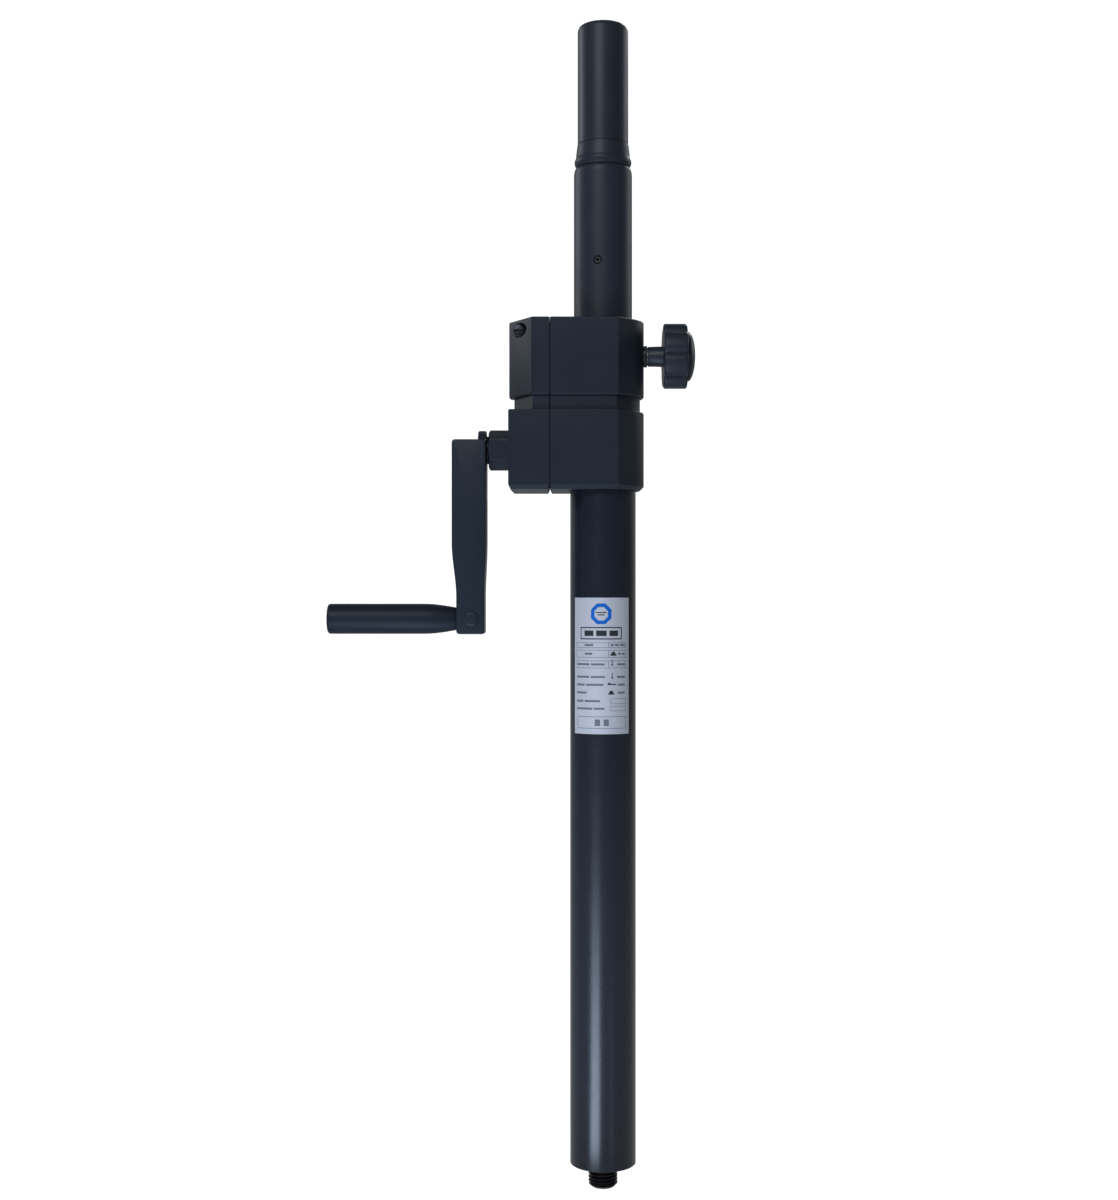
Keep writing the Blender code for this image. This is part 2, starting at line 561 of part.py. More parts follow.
def wheel_outline():
    """Involute teeth of module 2, thinned so that they run clear, with a gap facing the rack."""
    base_r = WHEEL_PITCH_R * math.cos(PRESSURE_ANGLE)
    half_angles = []
    for radius in (WHEEL_ROOT_R, base_r, WHEEL_PITCH_R, WHEEL_TIP_R):
        pressure = math.acos(min(1.0, base_r / radius))
        half = TOOTH_THICKNESS / 2 / WHEEL_PITCH_R + involute(PRESSURE_ANGLE) - involute(pressure)
        half_angles.append((radius, half))
    points = []
    for tooth in range(WHEEL_TEETH):
        middle = 2 * math.pi * (tooth + 0.5) / WHEEL_TEETH
        rising = [(radius, middle - half) for radius, half in half_angles]
        falling = [(radius, middle + half) for radius, half in reversed(half_angles)]
        points += [(r * math.cos(a), r * math.sin(a)) for r, a in rising + falling]
    return points


def slanted(piece, turn_per_mm=0.0, rise_per_mm=0.0):
    """Slant a prism's teeth to the worm's lead by turning or raising it across its width."""
    for vertex in piece.data.vertices:
        across = -vertex.co.z / MM
        if turn_per_mm:
            vertex.co = Matrix.Rotation(turn_per_mm * across, 3, "Z") @ vertex.co
        vertex.co.y += rise_per_mm * across * MM
    piece.data.update()


wheel = plate("worm_wheel", BRASS, wheel_outline(), -WHEEL_HALF_WIDTH, WHEEL_HALF_WIDTH,
              axis="-Y", at=(SEAM_X, 0, AXLE_Z))
slanted(wheel, turn_per_mm=LEAD_SLOPE / WHEEL_PITCH_R)
WHEEL_BUSH_R = 5.0
AXLE_R = 3.0
AXLE_HALF = 13.6
cut(wheel, rod("wheel_bore", BRASS, WHEEL_BUSH_R + FIT_GAP, -8, 8, at=(SEAM_X, 0, AXLE_Z), axis="Y"))
ring("wheel_bush", STEEL, WHEEL_BUSH_R, AXLE_R + FIT_GAP, -WHEEL_HALF_WIDTH, WHEEL_HALF_WIDTH,
     at=(SEAM_X, 0, AXLE_Z), axis="Y", steps=SMALL_STEPS)
rod("wheel_axle", STEEL, AXLE_R, -AXLE_HALF, AXLE_HALF, at=(SEAM_X, 0, AXLE_Z), axis="Y", chamfer=0.4)

RACK_ROOT_X = -15.0
RACK_TIP_X = -19.1
RACK_BACK_X = -8.0
RACK_FLANGE_HALF = 8.5
RACK_LOW = 113.0
RACK_TOP = 546.0
RACK_SCREW_Z = 541.3
RACK_PAD_X = -17.0
RACK_PAD_LOW = 537.0
RACK_HOLE_R = 1.8
FOOT_SCREW_X = -11.5


def rack_outline():
    """Straight-sided teeth along the bar's outer edge, as (x, z) points from the bottom up."""
    tip_half = TOOTH_THICKNESS / 2 - (RACK_PITCH_X - RACK_TIP_X) * math.tan(PRESSURE_ANGLE)
    root_half = TOOTH_THICKNESS / 2 + (RACK_ROOT_X - RACK_PITCH_X) * math.tan(PRESSURE_ANGLE)
    low = AXLE_Z - (RACK_TEETH_BELOW + 0.5) * PITCH
    high = AXLE_Z + (RACK_TEETH_ABOVE + 0.5) * PITCH
    points = [(RACK_ROOT_X + 2, high), (RACK_ROOT_X + 2, low), (RACK_ROOT_X, low)]
    for tooth in range(-RACK_TEETH_BELOW, RACK_TEETH_ABOVE + 1):
        middle = AXLE_Z + tooth * PITCH
        points += [(RACK_ROOT_X, middle - root_half), (RACK_TIP_X, middle - tip_half),
                   (RACK_TIP_X, middle + tip_half), (RACK_ROOT_X, middle + root_half)]
    return points + [(RACK_ROOT_X, high)]


rack_teeth = plate("rack_teeth", STEEL, rack_outline(), -RACK_HALF_WIDTH, RACK_HALF_WIDTH, axis="-Y")
slanted(rack_teeth, rise_per_mm=LEAD_SLOPE)
rack = block("rack", STEEL, (RACK_ROOT_X + 0.02, RACK_BACK_X), (-RACK_FLANGE_HALF, RACK_FLANGE_HALF),
             (RACK_LOW, RACK_TOP))
rack_pad = block("rack_pad", STEEL, (RACK_PAD_X, RACK_ROOT_X + 1), (-RACK_HALF_WIDTH, RACK_HALF_WIDTH),
                 (RACK_PAD_LOW, RACK_TOP - 0.5))
join(rack, rack_teeth, rack_pad)
cut(rack,
    rod("rack_top_hole", STEEL, RACK_HOLE_R, -20, -6, at=(0, 0, RACK_SCREW_Z), axis="X"),
    rod("rack_foot_hole", STEEL, RACK_HOLE_R, RACK_LOW - CUT_PAST, 128, at=(FOOT_SCREW_X, 0, 0)))


# ---------------------------------------------------------------- inner tube and its guides

GRUB_ANGLE = math.radians(-90 - 12.1)
GRUB_Z = 616.0
GRUB_DIRECTION = Vector((math.cos(GRUB_ANGLE), math.sin(GRUB_ANGLE), 0))


def radial_rod(name, look, radius, low, high, steps=SMALL_STEPS):
    """A bar along the grub screw's line, between two distances from the pole's axis."""
    piece = rod(name, look, radius, low, high, steps=steps)
    turn = GRUB_DIRECTION.to_track_quat("Z", "Y").to_matrix().to_4x4()
    piece.matrix_world = Matrix.Translation((0, 0, GRUB_Z * MM)) @ turn
    return piece


inner_tube = turned("inner_tube", BLACK_SATIN,
                    [(18.3, INNER_TUBE_TOP), (19.2, INNER_TUBE_TOP - 1.0), (19.8, INNER_TUBE_TOP - 3.0),
                     (INNER_TUBE_R, INNER_TUBE_SHOULDER), (INNER_TUBE_R, INNER_TUBE_LOW),
                     (INNER_TUBE_BORE, INNER_TUBE_LOW), (INNER_TUBE_BORE, 673), (16.0, 679),
                     (16.0, INNER_TUBE_TOP)],
                    steps=TUBE_STEPS)
SLOT_TOP = 536.0
SLOT_HALF_WIDTH = 6.0
GRUB_HOLE_R = 2.8
FOOT_SCREW_Z = 100.0
cut(inner_tube,
    block("rack_slot", BLACK_SATIN, (-25, -14), (-SLOT_HALF_WIDTH, SLOT_HALF_WIDTH),
          (INNER_TUBE_LOW - 5, SLOT_TOP)),
    rod("rack_screw_hole", BLACK_SATIN, RACK_HOLE_R, -22, -14, at=(0, 0, RACK_SCREW_Z), axis="X"),
    rod("rack_screw_seat", BLACK_SATIN, 3.4, -22, -18.8, at=(0, 0, RACK_SCREW_Z), axis="X"),
    rod("foot_screw_hole", BLACK_SATIN, GRUB_HOLE_R, 14, 22, at=(0, 0, FOOT_SCREW_Z), axis="X"),
    radial_rod("tube_grub_hole", BLACK_SATIN, GRUB_HOLE_R, 14, 24))

RACK_SCREW_R = 1.5
turned("rack_top_screw", STEEL,
       [(0, -9.5), (RACK_SCREW_R, -9.5), (RACK_SCREW_R, -19.1), (3.1, -19.1), (3.1, -19.6), (0, -19.6)],
       at=(0, 0, RACK_SCREW_Z), axis="X", steps=16)
rod("rack_foot_screw", STEEL, RACK_SCREW_R, 96, 126, at=(FOOT_SCREW_X, 0, 0), steps=16, chamfer=0.2)
FOOT_LOW = 79.5
FOOT_TOP = 112.0
FOOT_R = 20.78
FOOT_SPIGOT_R = 17.6
FOOT_CORE_R = 7.0
foot_guide = turned("foot_guide", GREY_PLASTIC,
                    [(0, FOOT_TOP), (FOOT_SPIGOT_R, FOOT_TOP), (FOOT_SPIGOT_R, INNER_TUBE_LOW - FIT_GAP),
                     (FOOT_R, INNER_TUBE_LOW - FIT_GAP), (FOOT_R, FOOT_LOW), (0, FOOT_LOW)],
                    steps=TUBE_STEPS)
cut(foot_guide,
    rod("foot_guide_hole", GREY_PLASTIC, RACK_HOLE_R, FOOT_LOW - CUT_PAST, FOOT_TOP + CUT_PAST,
        at=(FOOT_SCREW_X, 0, 0)),
    rod("foot_guide_core", GREY_PLASTIC, FOOT_CORE_R, FOOT_LOW - CUT_PAST, FOOT_TOP + CUT_PAST, at=(3, 0, 0)),
    rod("foot_screw_thread", GREY_PLASTIC, 2.2, 12, 20, at=(0, 0, FOOT_SCREW_Z), axis="X"))
rod("foot_guide_screw", STEEL, 1.9, 12.5, 19.5, at=(0, 0, FOOT_SCREW_Z), axis="X", steps=16, chamfer=0.2)


# ---------------------------------------------------------------- spigot

REDUCER_R = 17.7
REDUCER_LOW = 596.0
REDUCER_TOP = 672.0
CORE_R = 15.2
CORE_BORE = 13.2
CORE_LOW = 598.0
CORE_TOP = 770.0
COLLAR_LOW = 682.3
COLLAR_TOP = 698.3
SLEEVE_BORE = 15.5
SLEEVE_R = 17.4
reducer = ring("spigot_reducer", GREY_PLASTIC, REDUCER_R, SLEEVE_BORE, REDUCER_LOW, REDUCER_TOP,
               steps=TUBE_STEPS)
cut(reducer, radial_rod("reducer_grub_hole", GREY_PLASTIC, GRUB_HOLE_R, 12, 20))
ring("spigot_core", STEEL, CORE_R, CORE_BORE, CORE_LOW, CORE_TOP, steps=TUBE_STEPS)
turned("spigot_collar", BLACK_SATIN,
       [(17.3, COLLAR_TOP), (18.1, 695.6), (18.6, 689.5), (19.55, 687.0), (19.55, 685.0),
        (18.3, COLLAR_LOW), (SLEEVE_BORE, COLLAR_LOW), (SLEEVE_BORE, COLLAR_TOP)],
       steps=TUBE_STEPS)
turned("spigot_sleeve", BLACK_PLASTIC,
       [(0, SPIGOT_TOP), (13.0, SPIGOT_TOP), (15.3, SPIGOT_TOP - 0.6), (16.8, SPIGOT_TOP - 2.2),
        (SLEEVE_R, SPIGOT_TOP - 4.4), (SLEEVE_R, COLLAR_TOP + FIT_GAP), (SLEEVE_BORE, COLLAR_TOP + FIT_GAP),
        (SLEEVE_BORE, CORE_TOP + 0.4), (0, CORE_TOP + 0.4)], steps=TUBE_STEPS)
grub = radial_rod("spigot_grub_screw", BLACK_STEEL, 2.5, 15.5, 19.5)
cut(grub, radial_rod("grub_socket", BLACK_STEEL, 1.25, 18.0, 21, steps=6))


# ---------------------------------------------------------------- crank arm

WEB_INNER_X = -82.5
PUSH_SLOT = (424.0, 454.0)
CURVE_TOP = 425.0
CURVE_DROP = 37.0
LEFT_STEP = 3.1
RIGHT_STEP = 1.2
LUG_R = 13.4
LUG_LEFT = -85.5
CHANNEL_HALF_WIDTH = 12.0


def arm_outline(left, right, low, high):
    """Side view of the arm as (x, z), which narrows in an S-curve below the curve's top."""
    curve = []
    for i in range(9):
        share = i / 8
        smooth = share * share * (3 - 2 * share)
        curve.append((smooth, CURVE_TOP - CURVE_DROP * share))
    left_side = [(left + LEFT_STEP * s, z) for s, z in curve]
    right_side = [(right - RIGHT_STEP * s, z) for s, z in reversed(curve)]
    foot = [(left + LEFT_STEP, low), (right - RIGHT_STEP, low)]
    return [(left, high)] + left_side + foot + right_side + [(right, high)]


arm = plate("crank_arm", BLACK_PAINT, arm_outline(ARM_LEFT, ARM_RIGHT, ARM_LOW, ARM_TOP),
            -ARM_HALF_WIDTH, ARM_HALF_WIDTH, axis="-Y")
round_edges(arm, 1.0)
join(arm, rod("arm_lug", BLACK_PAINT, LUG_R, LUG_LEFT, ARM_RIGHT, at=(0, 0, CRANK_Z), axis="X",
              steps=ROUND_STEPS, chamfer=0.8))
cut(arm,
    block("arm_channel", BLACK_PAINT, (-115, WEB_INNER_X), (-CHANNEL_HALF_WIDTH, CHANNEL_HALF_WIDTH),
          (366.3, 474)),
    block("arm_nut_space", BLACK_PAINT, (-115, LUG_LEFT), (-CHANNEL_HALF_WIDTH, CHANNEL_HALF_WIDTH),
          (470, 510)),
    block("push_slot", BLACK_PAINT, (-86, -75), (-4, 4), PUSH_SLOT),
    rod("arm_shaft_hole", BLACK_PAINT, ARM_SEAT_R + FIT_GAP, -90, -75, at=(0, 0, CRANK_Z), axis="X"),
    rod("arm_pin_hole", BLACK_PAINT, 2.8, -20, 20, at=(FOLD_X, 0, FOLD_Z), axis="Y"))
ring("arm_washer", STEEL, 6.4, SHAFT_THREAD_R + FIT_GAP, -87.2, -86.1, at=(0, 0, CRANK_Z), axis="X",
     steps=SMALL_STEPS)
hex_nut("arm_nut", STEEL, 5.77, SHAFT_THREAD_R + FIT_GAP, -92.0, -87.5, at=(0, 0, CRANK_Z), axis="X")


# ---------------------------------------------------------------- folding grip

NECK_END_X = -100.2
PIVOT_PIN_R = 2.5
KNUCKLE_R = 6.5
turned("grip_pivot_pin", BLACK_STEEL,
       [(0, 16.1), (4.2, 16.1), (4.8, 15.7), (4.8, 15.3), (PIVOT_PIN_R, 15.3), (PIVOT_PIN_R, -16.4),
        (0, -16.4)],
       at=(FOLD_X, 0, FOLD_Z), axis="-Y")
ring("pivot_clip", BLACK_STEEL, 4.6, PIVOT_PIN_R + FIT_GAP, 15.3, 16.1, at=(FOLD_X, 0, FOLD_Z),
     axis="Y", steps=SMALL_STEPS)
knuckle = rod("grip_knuckle", STEEL, KNUCKLE_R, -11.4, 11.4, at=(FOLD_X, 0, FOLD_Z), axis="Y",
              steps=ROUND_STEPS)
join(knuckle, block("knuckle_neck", STEEL, (NECK_END_X, FOLD_X), (-KNUCKLE_R, KNUCKLE_R),
                    (FOLD_Z - 6.4, FOLD_Z + 6.4)))
cut(knuckle,
    rod("knuckle_bore", STEEL, PIVOT_PIN_R + FIT_GAP, -15, 15, at=(FOLD_X, 0, FOLD_Z), axis="Y"),
    rod("knuckle_thread", STEEL, 3.4, -105, -96, at=(0, 0, FOLD_Z), axis="X"))
GRIP_AXLE_R = 3.1
AXLE_HEAD_R = 5.4
AXLE_HEAD_X = -178.6
AXLE_END = -182.0
turned("grip_axle", STEEL,
       [(0, -96.4), (GRIP_AXLE_R, -96.4), (GRIP_AXLE_R, AXLE_HEAD_X), (AXLE_HEAD_R, AXLE_HEAD_X),
        (AXLE_HEAD_R, AXLE_END), (0, AXLE_END)],
       at=(0, 0, FOLD_Z), axis="X")

SLEEVE_START = -100.5
SLEEVE_FULL = -122.5
sleeve_profile = [(GRIP_NECK_R, SLEEVE_START)]
for i in range(1, 7):
    share = i / 6
    sleeve_profile.append((GRIP_NECK_R + (GRIP_R - GRIP_NECK_R) * math.sin(share * math.pi / 2),
                           SLEEVE_START + (SLEEVE_FULL - SLEEVE_START) * share))
turned("grip_sleeve", BLACK_PLASTIC,
       sleeve_profile + [(GRIP_R, GRIP_END + 2.0), (GRIP_R - 0.6, GRIP_END + 0.6), (GRIP_R - 2.0, GRIP_END),
                         (7.3, GRIP_END), (7.3, GRIP_END + 3.4), (AXLE_HEAD_R + 0.5, GRIP_END + 3.4),
                         (AXLE_HEAD_R + 0.5, AXLE_HEAD_X + 0.5), (GRIP_AXLE_R + 0.4, AXLE_HEAD_X + 0.5),
                         (GRIP_AXLE_R + 0.4, SLEEVE_START)],
       at=(0, 0, FOLD_Z), axis="X")
rod("grip_end_cap", BLACK_PLASTIC, 7.3 - FIT_GAP, GRIP_END + 0.2, GRIP_END + 3.1, at=(0, 0, FOLD_Z), axis="X",
    steps=ROUND_STEPS, chamfer=0.4)


# ---------------------------------------------------------------- mast clamp

STUD_INNER = 23.2
STUD_OUTER = 50.0
CLAMP_STUD_R = 5.0
INSERT_BORE = CLAMP_STUD_R + FIT_GAP
turned("clamp_insert", BRASS,
       [(INSERT_BORE, 30.2), (7.45, 30.2), (7.45, 28.3), (6.8, 28.3), (6.8, 25.7), (INSERT_BORE, 25.7)],
       at=(0, 0, CLAMP_Z), axis="X", steps=24)
rod("clamp_pad", BRASS, 5.5, 20.35, 22.9, at=(0, 0, CLAMP_Z), axis="X", steps=24, chamfer=0.3)
rod("clamp_stud", STEEL, CLAMP_STUD_R, STUD_INNER, STUD_OUTER, at=(0, 0, CLAMP_Z), axis="X", chamfer=0.5)

VALLEY_DEPTH = 3.0
KNOB_INNER = 41.2
KNOB_OUTER = 57.5
HUB_INNER = 30.6
CAP_R = 17.0
CAP_STEM_R = 4.0


def knob_outline():
    """Seven round lobes with narrow valleys, one of which faces the front."""
    points = []
    count = 84
    for i in range(count):
        angle = 2 * math.pi * i / count
        lobe = abs(math.sin(KNOB_LOBES * (angle - math.pi / 2) / 2))
        radius = KNOB_R - VALLEY_DEPTH * (1 - lobe) ** 1.6
        points.append((radius * math.cos(angle), radius * math.sin(angle)))
    return points


knob = plate("clamp_knob", BLACK_PLASTIC, knob_outline(), KNOB_INNER, KNOB_OUTER, axis="X",
             at=(0, 0, CLAMP_Z))
join(knob, turned("knob_hub", BLACK_PLASTIC,
                  [(0, 43), (7.05, 43), (7.05, 41), (6.8, HUB_INNER), (0, HUB_INNER)],
                  at=(0, 0, CLAMP_Z), axis="X", steps=24))
cut(knob,
    rod("knob_bore", BLACK_PLASTIC, INSERT_BORE, 28, STUD_OUTER + 0.4, at=(0, 0, CLAMP_Z), axis="X"),
    rod("cap_hole", BLACK_PLASTIC, CAP_STEM_R + FIT_GAP, 48, 60, at=(0, 0, CLAMP_Z), axis="X"))
CAP_RIM_X = KNOB_OUTER + FIT_GAP
dome_angles = [math.radians(15 * i) for i in range(7)]
dome = [(CAP_R * math.sin(a), CAP_RIM_X + 0.5 + 5.0 * math.cos(a)) for a in dome_angles]
turned("knob_cap", BLACK_PLASTIC,
       dome + [(CAP_R, CAP_RIM_X), (CAP_STEM_R, CAP_RIM_X), (CAP_STEM_R, 52.0), (0, 52.0)],
       at=(0, 0, CLAMP_Z), axis="X")


# ---------------------------------------------------------------- joint origins

def put_origin(names, at):
    """Give moving pieces an origin on their joint's axis without moving their shape."""
    pivot = bpy.data.objects.new(names[0] + "_pivot", None)
    parts.objects.link(pivot)
    pivot.matrix_world = Matrix.Translation(Vector(at) * MM)
    for name in names:
        piece = bpy.data.objects[name]
        piece.parent = pivot
        piece.matrix_parent_inverse = pivot.matrix_world.inverted()


put_origin(["inner_tube", "rack", "rack_top_screw", "rack_foot_screw", "foot_guide", "foot_guide_screw",
            "spigot_reducer", "spigot_core", "spigot_collar", "spigot_sleeve", "spigot_grub_screw"],
           (0, 0, INNER_TUBE_LOW))
put_origin(["worm_shaft", "worm", "worm_pin", "thrust_washer", "crank_arm", "arm_washer", "arm_nut",
            "grip_pivot_pin", "pivot_clip"], (ARM_RIGHT, 0, CRANK_Z))
put_origin(["worm_wheel", "wheel_bush"], (SEAM_X, 0, AXLE_Z))
put_origin(["grip_knuckle", "grip_axle"], (FOLD_X, 0, FOLD_Z))
put_origin(["grip_sleeve", "grip_end_cap"], (SLEEVE_START, 0, FOLD_Z))
put_origin(["clamp_pad"], (STUD_INNER, 0, CLAMP_Z))
put_origin(["clamp_stud", "clamp_knob", "knob_cap"], (STUD_INNER, 0, CLAMP_Z))

for piece in parts.objects:
    if piece.type == "MESH" and not any(m.type == "SCREW" for m in piece.modifiers):
        piece.data.shade_smooth()
        piece.data.set_sharp_from_angle(angle=math.radians(30))
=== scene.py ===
"""Looks of the crank lift pole: a 45 mm lower tube, a worm-geared lift, a folding crank and a 35 mm spigot.

Each section below makes one piece or one group of like pieces, from the camera and the studio
up through the pole in the order it is put together. Shop sizes are in millimetres.
"""

import json
import math

import bmesh
import bpy
from mathutils import Matrix, Vector


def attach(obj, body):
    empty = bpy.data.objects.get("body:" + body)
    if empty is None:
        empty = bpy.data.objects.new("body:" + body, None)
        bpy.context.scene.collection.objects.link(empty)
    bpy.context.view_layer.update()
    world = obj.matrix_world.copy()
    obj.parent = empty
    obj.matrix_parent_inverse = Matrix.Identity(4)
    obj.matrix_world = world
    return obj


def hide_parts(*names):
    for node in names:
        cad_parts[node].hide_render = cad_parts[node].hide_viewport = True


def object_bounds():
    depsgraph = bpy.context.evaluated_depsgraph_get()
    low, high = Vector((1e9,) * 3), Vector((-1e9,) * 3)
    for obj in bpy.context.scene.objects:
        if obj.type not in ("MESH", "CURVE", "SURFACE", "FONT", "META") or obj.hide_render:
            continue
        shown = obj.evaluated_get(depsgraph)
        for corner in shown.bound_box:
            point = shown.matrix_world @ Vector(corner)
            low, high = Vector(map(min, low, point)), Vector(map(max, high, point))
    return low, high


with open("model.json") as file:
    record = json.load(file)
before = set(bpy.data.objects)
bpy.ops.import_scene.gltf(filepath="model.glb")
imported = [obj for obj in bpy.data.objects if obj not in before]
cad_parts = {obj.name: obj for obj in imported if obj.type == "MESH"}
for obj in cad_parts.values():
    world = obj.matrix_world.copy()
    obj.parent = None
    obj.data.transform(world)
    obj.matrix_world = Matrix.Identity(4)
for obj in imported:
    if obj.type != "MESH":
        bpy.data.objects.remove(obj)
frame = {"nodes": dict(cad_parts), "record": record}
cad_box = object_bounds()
MM = 0.001

# ---------------------------------------------------------------- camera
# A level camera 1.17 m in front of the pole's axis, a little to the crank's side,
# at about half the pole's height.
CAMERA_PLACE = (-0.0302, -1.168, 0.386)
CAMERA_LENS = 51
CAMERA_SENSOR = 36
camera_data = bpy.data.cameras.new("camera")
camera_data.lens = CAMERA_LENS
camera_data.sensor_width = CAMERA_SENSOR
camera = bpy.data.objects.new("camera", camera_data)
camera.location = CAMERA_PLACE
camera.rotation_euler = (math.radians(90), 0, 0)
bpy.context.scene.collection.objects.link(camera)
bpy.context.scene.camera = camera
bpy.context.scene.view_settings.view_transform = "Standard"


# ---------------------------------------------------------------- shader maths
class Signal:
    """A shader socket. Arithmetic on it adds Math nodes to its tree."""

    def __init__(self, tree, socket=None):
        self.tree = tree
        self.socket = socket

    def node(self, kind, settings=None, inputs=None, output=0):
        made = self.tree.nodes.new(kind)
        for name, value in (settings or {}).items():
            if name == "stops":
                ramp = made.color_ramp.elements
                while len(ramp) < len(value):
                    ramp.new(0.5)
                for element, (place, shade) in zip(ramp, value):
                    element.position = place
                    element.color = (shade, shade, shade, 1)
            else:
                setattr(made, name, value)
        for name, value in (inputs or {}).items():
            if isinstance(value, Signal):
                self.tree.links.new(value.socket, made.inputs[name])
            else:
                made.inputs[name].default_value = value
        return Signal(self.tree, made.outputs[output])

    def math(self, operation, first, second):
        return self.node("ShaderNodeMath", {"operation": operation}, {0: first, 1: second})

    def __add__(self, other):
        return self.math("ADD", self, other)

    def __sub__(self, other):
        return self.math("SUBTRACT", self, other)

    def __mul__(self, other):
        return self.math("MULTIPLY", self, other)

    def __rsub__(self, other):
        return self.math("SUBTRACT", other, self)

    __radd__ = __add__
    __rmul__ = __mul__


COAT_ROUGHNESS = 0.12
DRIFT_CELLS = 38.0
SCUFF_CELLS = 310.0
SCUFF_EDGE = (0.62, 0.72)
DRIFT_GLOSS = 0.10
FINE_GLOSS = 0.05


def surface(name, color, roughness, metallic=0.0, grain=2000, bump=0.02, wear=0.0, stretch=(1, 1, 1),
            coat=0.0, shade=0.12, gleam=0.16):
    """A finish whose colour and gloss drift a little over the piece, with a fine bump.

    grain is the bump's size as cells per metre, bump its depth in millimetres, stretch its brushing
    direction, shade how far the colour drifts, wear how much lighter its worn patches are, and gleam its
    specular level.
    """
    material = bpy.data.materials.new(name)
    material.use_nodes = True
    tree = material.node_tree
    shader = tree.nodes["Principled BSDF"]
    shader.inputs["Metallic"].default_value = metallic
    shader.inputs["Coat Weight"].default_value = coat
    shader.inputs["Specular IOR Level"].default_value = gleam
    shader.inputs["Coat Roughness"].default_value = COAT_ROUGHNESS
    start = Signal(tree)
    place = start.node("ShaderNodeTexCoord", output="Object")
    place = start.node("ShaderNodeMapping", inputs={"Vector": place, "Scale": stretch})
    drift = start.node("ShaderNodeTexNoise", inputs={"Vector": place, "Scale": DRIFT_CELLS, "Detail": 3.0})
    fine = start.node("ShaderNodeTexNoise", inputs={"Vector": place, "Scale": float(grain), "Detail": 2.0})
    scuffs = start.node("ShaderNodeTexNoise", inputs={"Vector": place, "Scale": SCUFF_CELLS, "Detail": 6.0})
    stops = [(SCUFF_EDGE[0], 0.0), (SCUFF_EDGE[1], 1.0)]
    worn = start.node("ShaderNodeValToRGB", {"stops": stops}, {"Fac": scuffs})
    light = tuple(min(1.0, c * (1 + shade)) for c in color)
    dark = tuple(c * (1 - shade) for c in color)
    tone = start.node("ShaderNodeMix", {"data_type": "RGBA"},
                      {0: drift, 6: (*dark, 1), 7: (*light, 1)}, output=2)
    rubbed = tuple(min(1.0, c * 1.5 + 0.01) for c in color)
    tone = start.node("ShaderNodeMix", {"data_type": "RGBA"},
                      {0: worn * wear, 6: tone, 7: (*rubbed, 1)}, output=2)
    gloss = roughness + DRIFT_GLOSS * (drift - 0.5) + FINE_GLOSS * (fine - 0.5)
    relief = start.node("ShaderNodeBump", inputs={"Height": fine, "Distance": bump * MM, "Strength": 0.6})
    tree.links.new(tone.socket, shader.inputs["Base Color"])
    tree.links.new(gloss.socket, shader.inputs["Roughness"])
    tree.links.new(relief.socket, shader.inputs["Normal"])
    return material


# ---------------------------------------------------------------- studio
# A pale floor that sweeps up into a backdrop, a soft box in front, one behind and one on each side,
# and two bright cards on the floor in front, which put the long streaks on the lower tube. The floor
# glows white to the eye and less to the pole, so that the black finishes stay black.
FLOOR_Z = cad_box[0][2] - 0.0005
FLOOR_FRONT = -2.5
FLOOR_BACK = 1.6
FLOOR_HALF_WIDTH = 4.0
SWEEP_R = 0.8
BACKDROP_TOP = 3.5
SEEN_GLOW = 0.93
LIT_GLOW = 0.22
AIR_LIGHT = (0.146, 0.156, 0.17, 1)
sweep = bmesh.new()
profile = [(FLOOR_FRONT, 0.0), (FLOOR_BACK, 0.0)]
for degrees in range(10, 100, 10):
    turn = math.radians(degrees)
    profile.append((FLOOR_BACK + SWEEP_R * math.sin(turn), SWEEP_R - SWEEP_R * math.cos(turn)))
profile.append((FLOOR_BACK + SWEEP_R, BACKDROP_TOP))
row = [sweep.verts.new((-FLOOR_HALF_WIDTH, y, FLOOR_Z + z)) for y, z in profile]
edges = [sweep.edges.new(pair) for pair in zip(row, row[1:])]
wide = bmesh.ops.extrude_edge_only(sweep, edges=edges)
moved = [v for v in wide["geom"] if isinstance(v, bmesh.types.BMVert)]
bmesh.ops.translate(sweep, verts=moved, vec=(2 * FLOOR_HALF_WIDTH, 0, 0))
bmesh.ops.recalc_face_normals(sweep, faces=sweep.faces)
sweep_mesh = bpy.data.meshes.new("studio_sweep")
sweep.to_mesh(sweep_mesh)
sweep.free()
sweep_mesh.shade_smooth()
floor_paint = bpy.data.materials.new("studio_white")
floor_paint.use_nodes = True
floor_shader = floor_paint.node_tree.nodes["Principled BSDF"]
floor_shader.inputs["Base Color"].default_value = (0.35, 0.35, 0.35, 1)
floor_shader.inputs["Roughness"].default_value = 0.9
floor_shader.inputs["Emission Strength"].default_value = 1.0
rays = Signal(floor_paint.node_tree).node("ShaderNodeLightPath")
glow = rays * (SEEN_GLOW - LIT_GLOW) + LIT_GLOW
floor_paint.node_tree.links.new(glow.socket, floor_shader.inputs["Emission Color"])
sweep_mesh.materials.append(floor_paint)
studio_sweep = bpy.data.objects.new("studio_sweep", sweep_mesh)
bpy.context.scene.collection.objects.link(studio_sweep)

world = bpy.data.worlds.new("studio_air")
world.use_nodes = True
air = world.node_tree.nodes["Background"]
seen = Signal(world.node_tree).node("ShaderNodeLightPath")
tint = seen.node("ShaderNodeMix", {"data_type": "RGBA"},
                 {0: seen, 6: AIR_LIGHT, 7: (1, 1, 1, 1)}, output=2)
world.node_tree.links.new(tint.socket, air.inputs["Color"])
bpy.context.scene.world = world


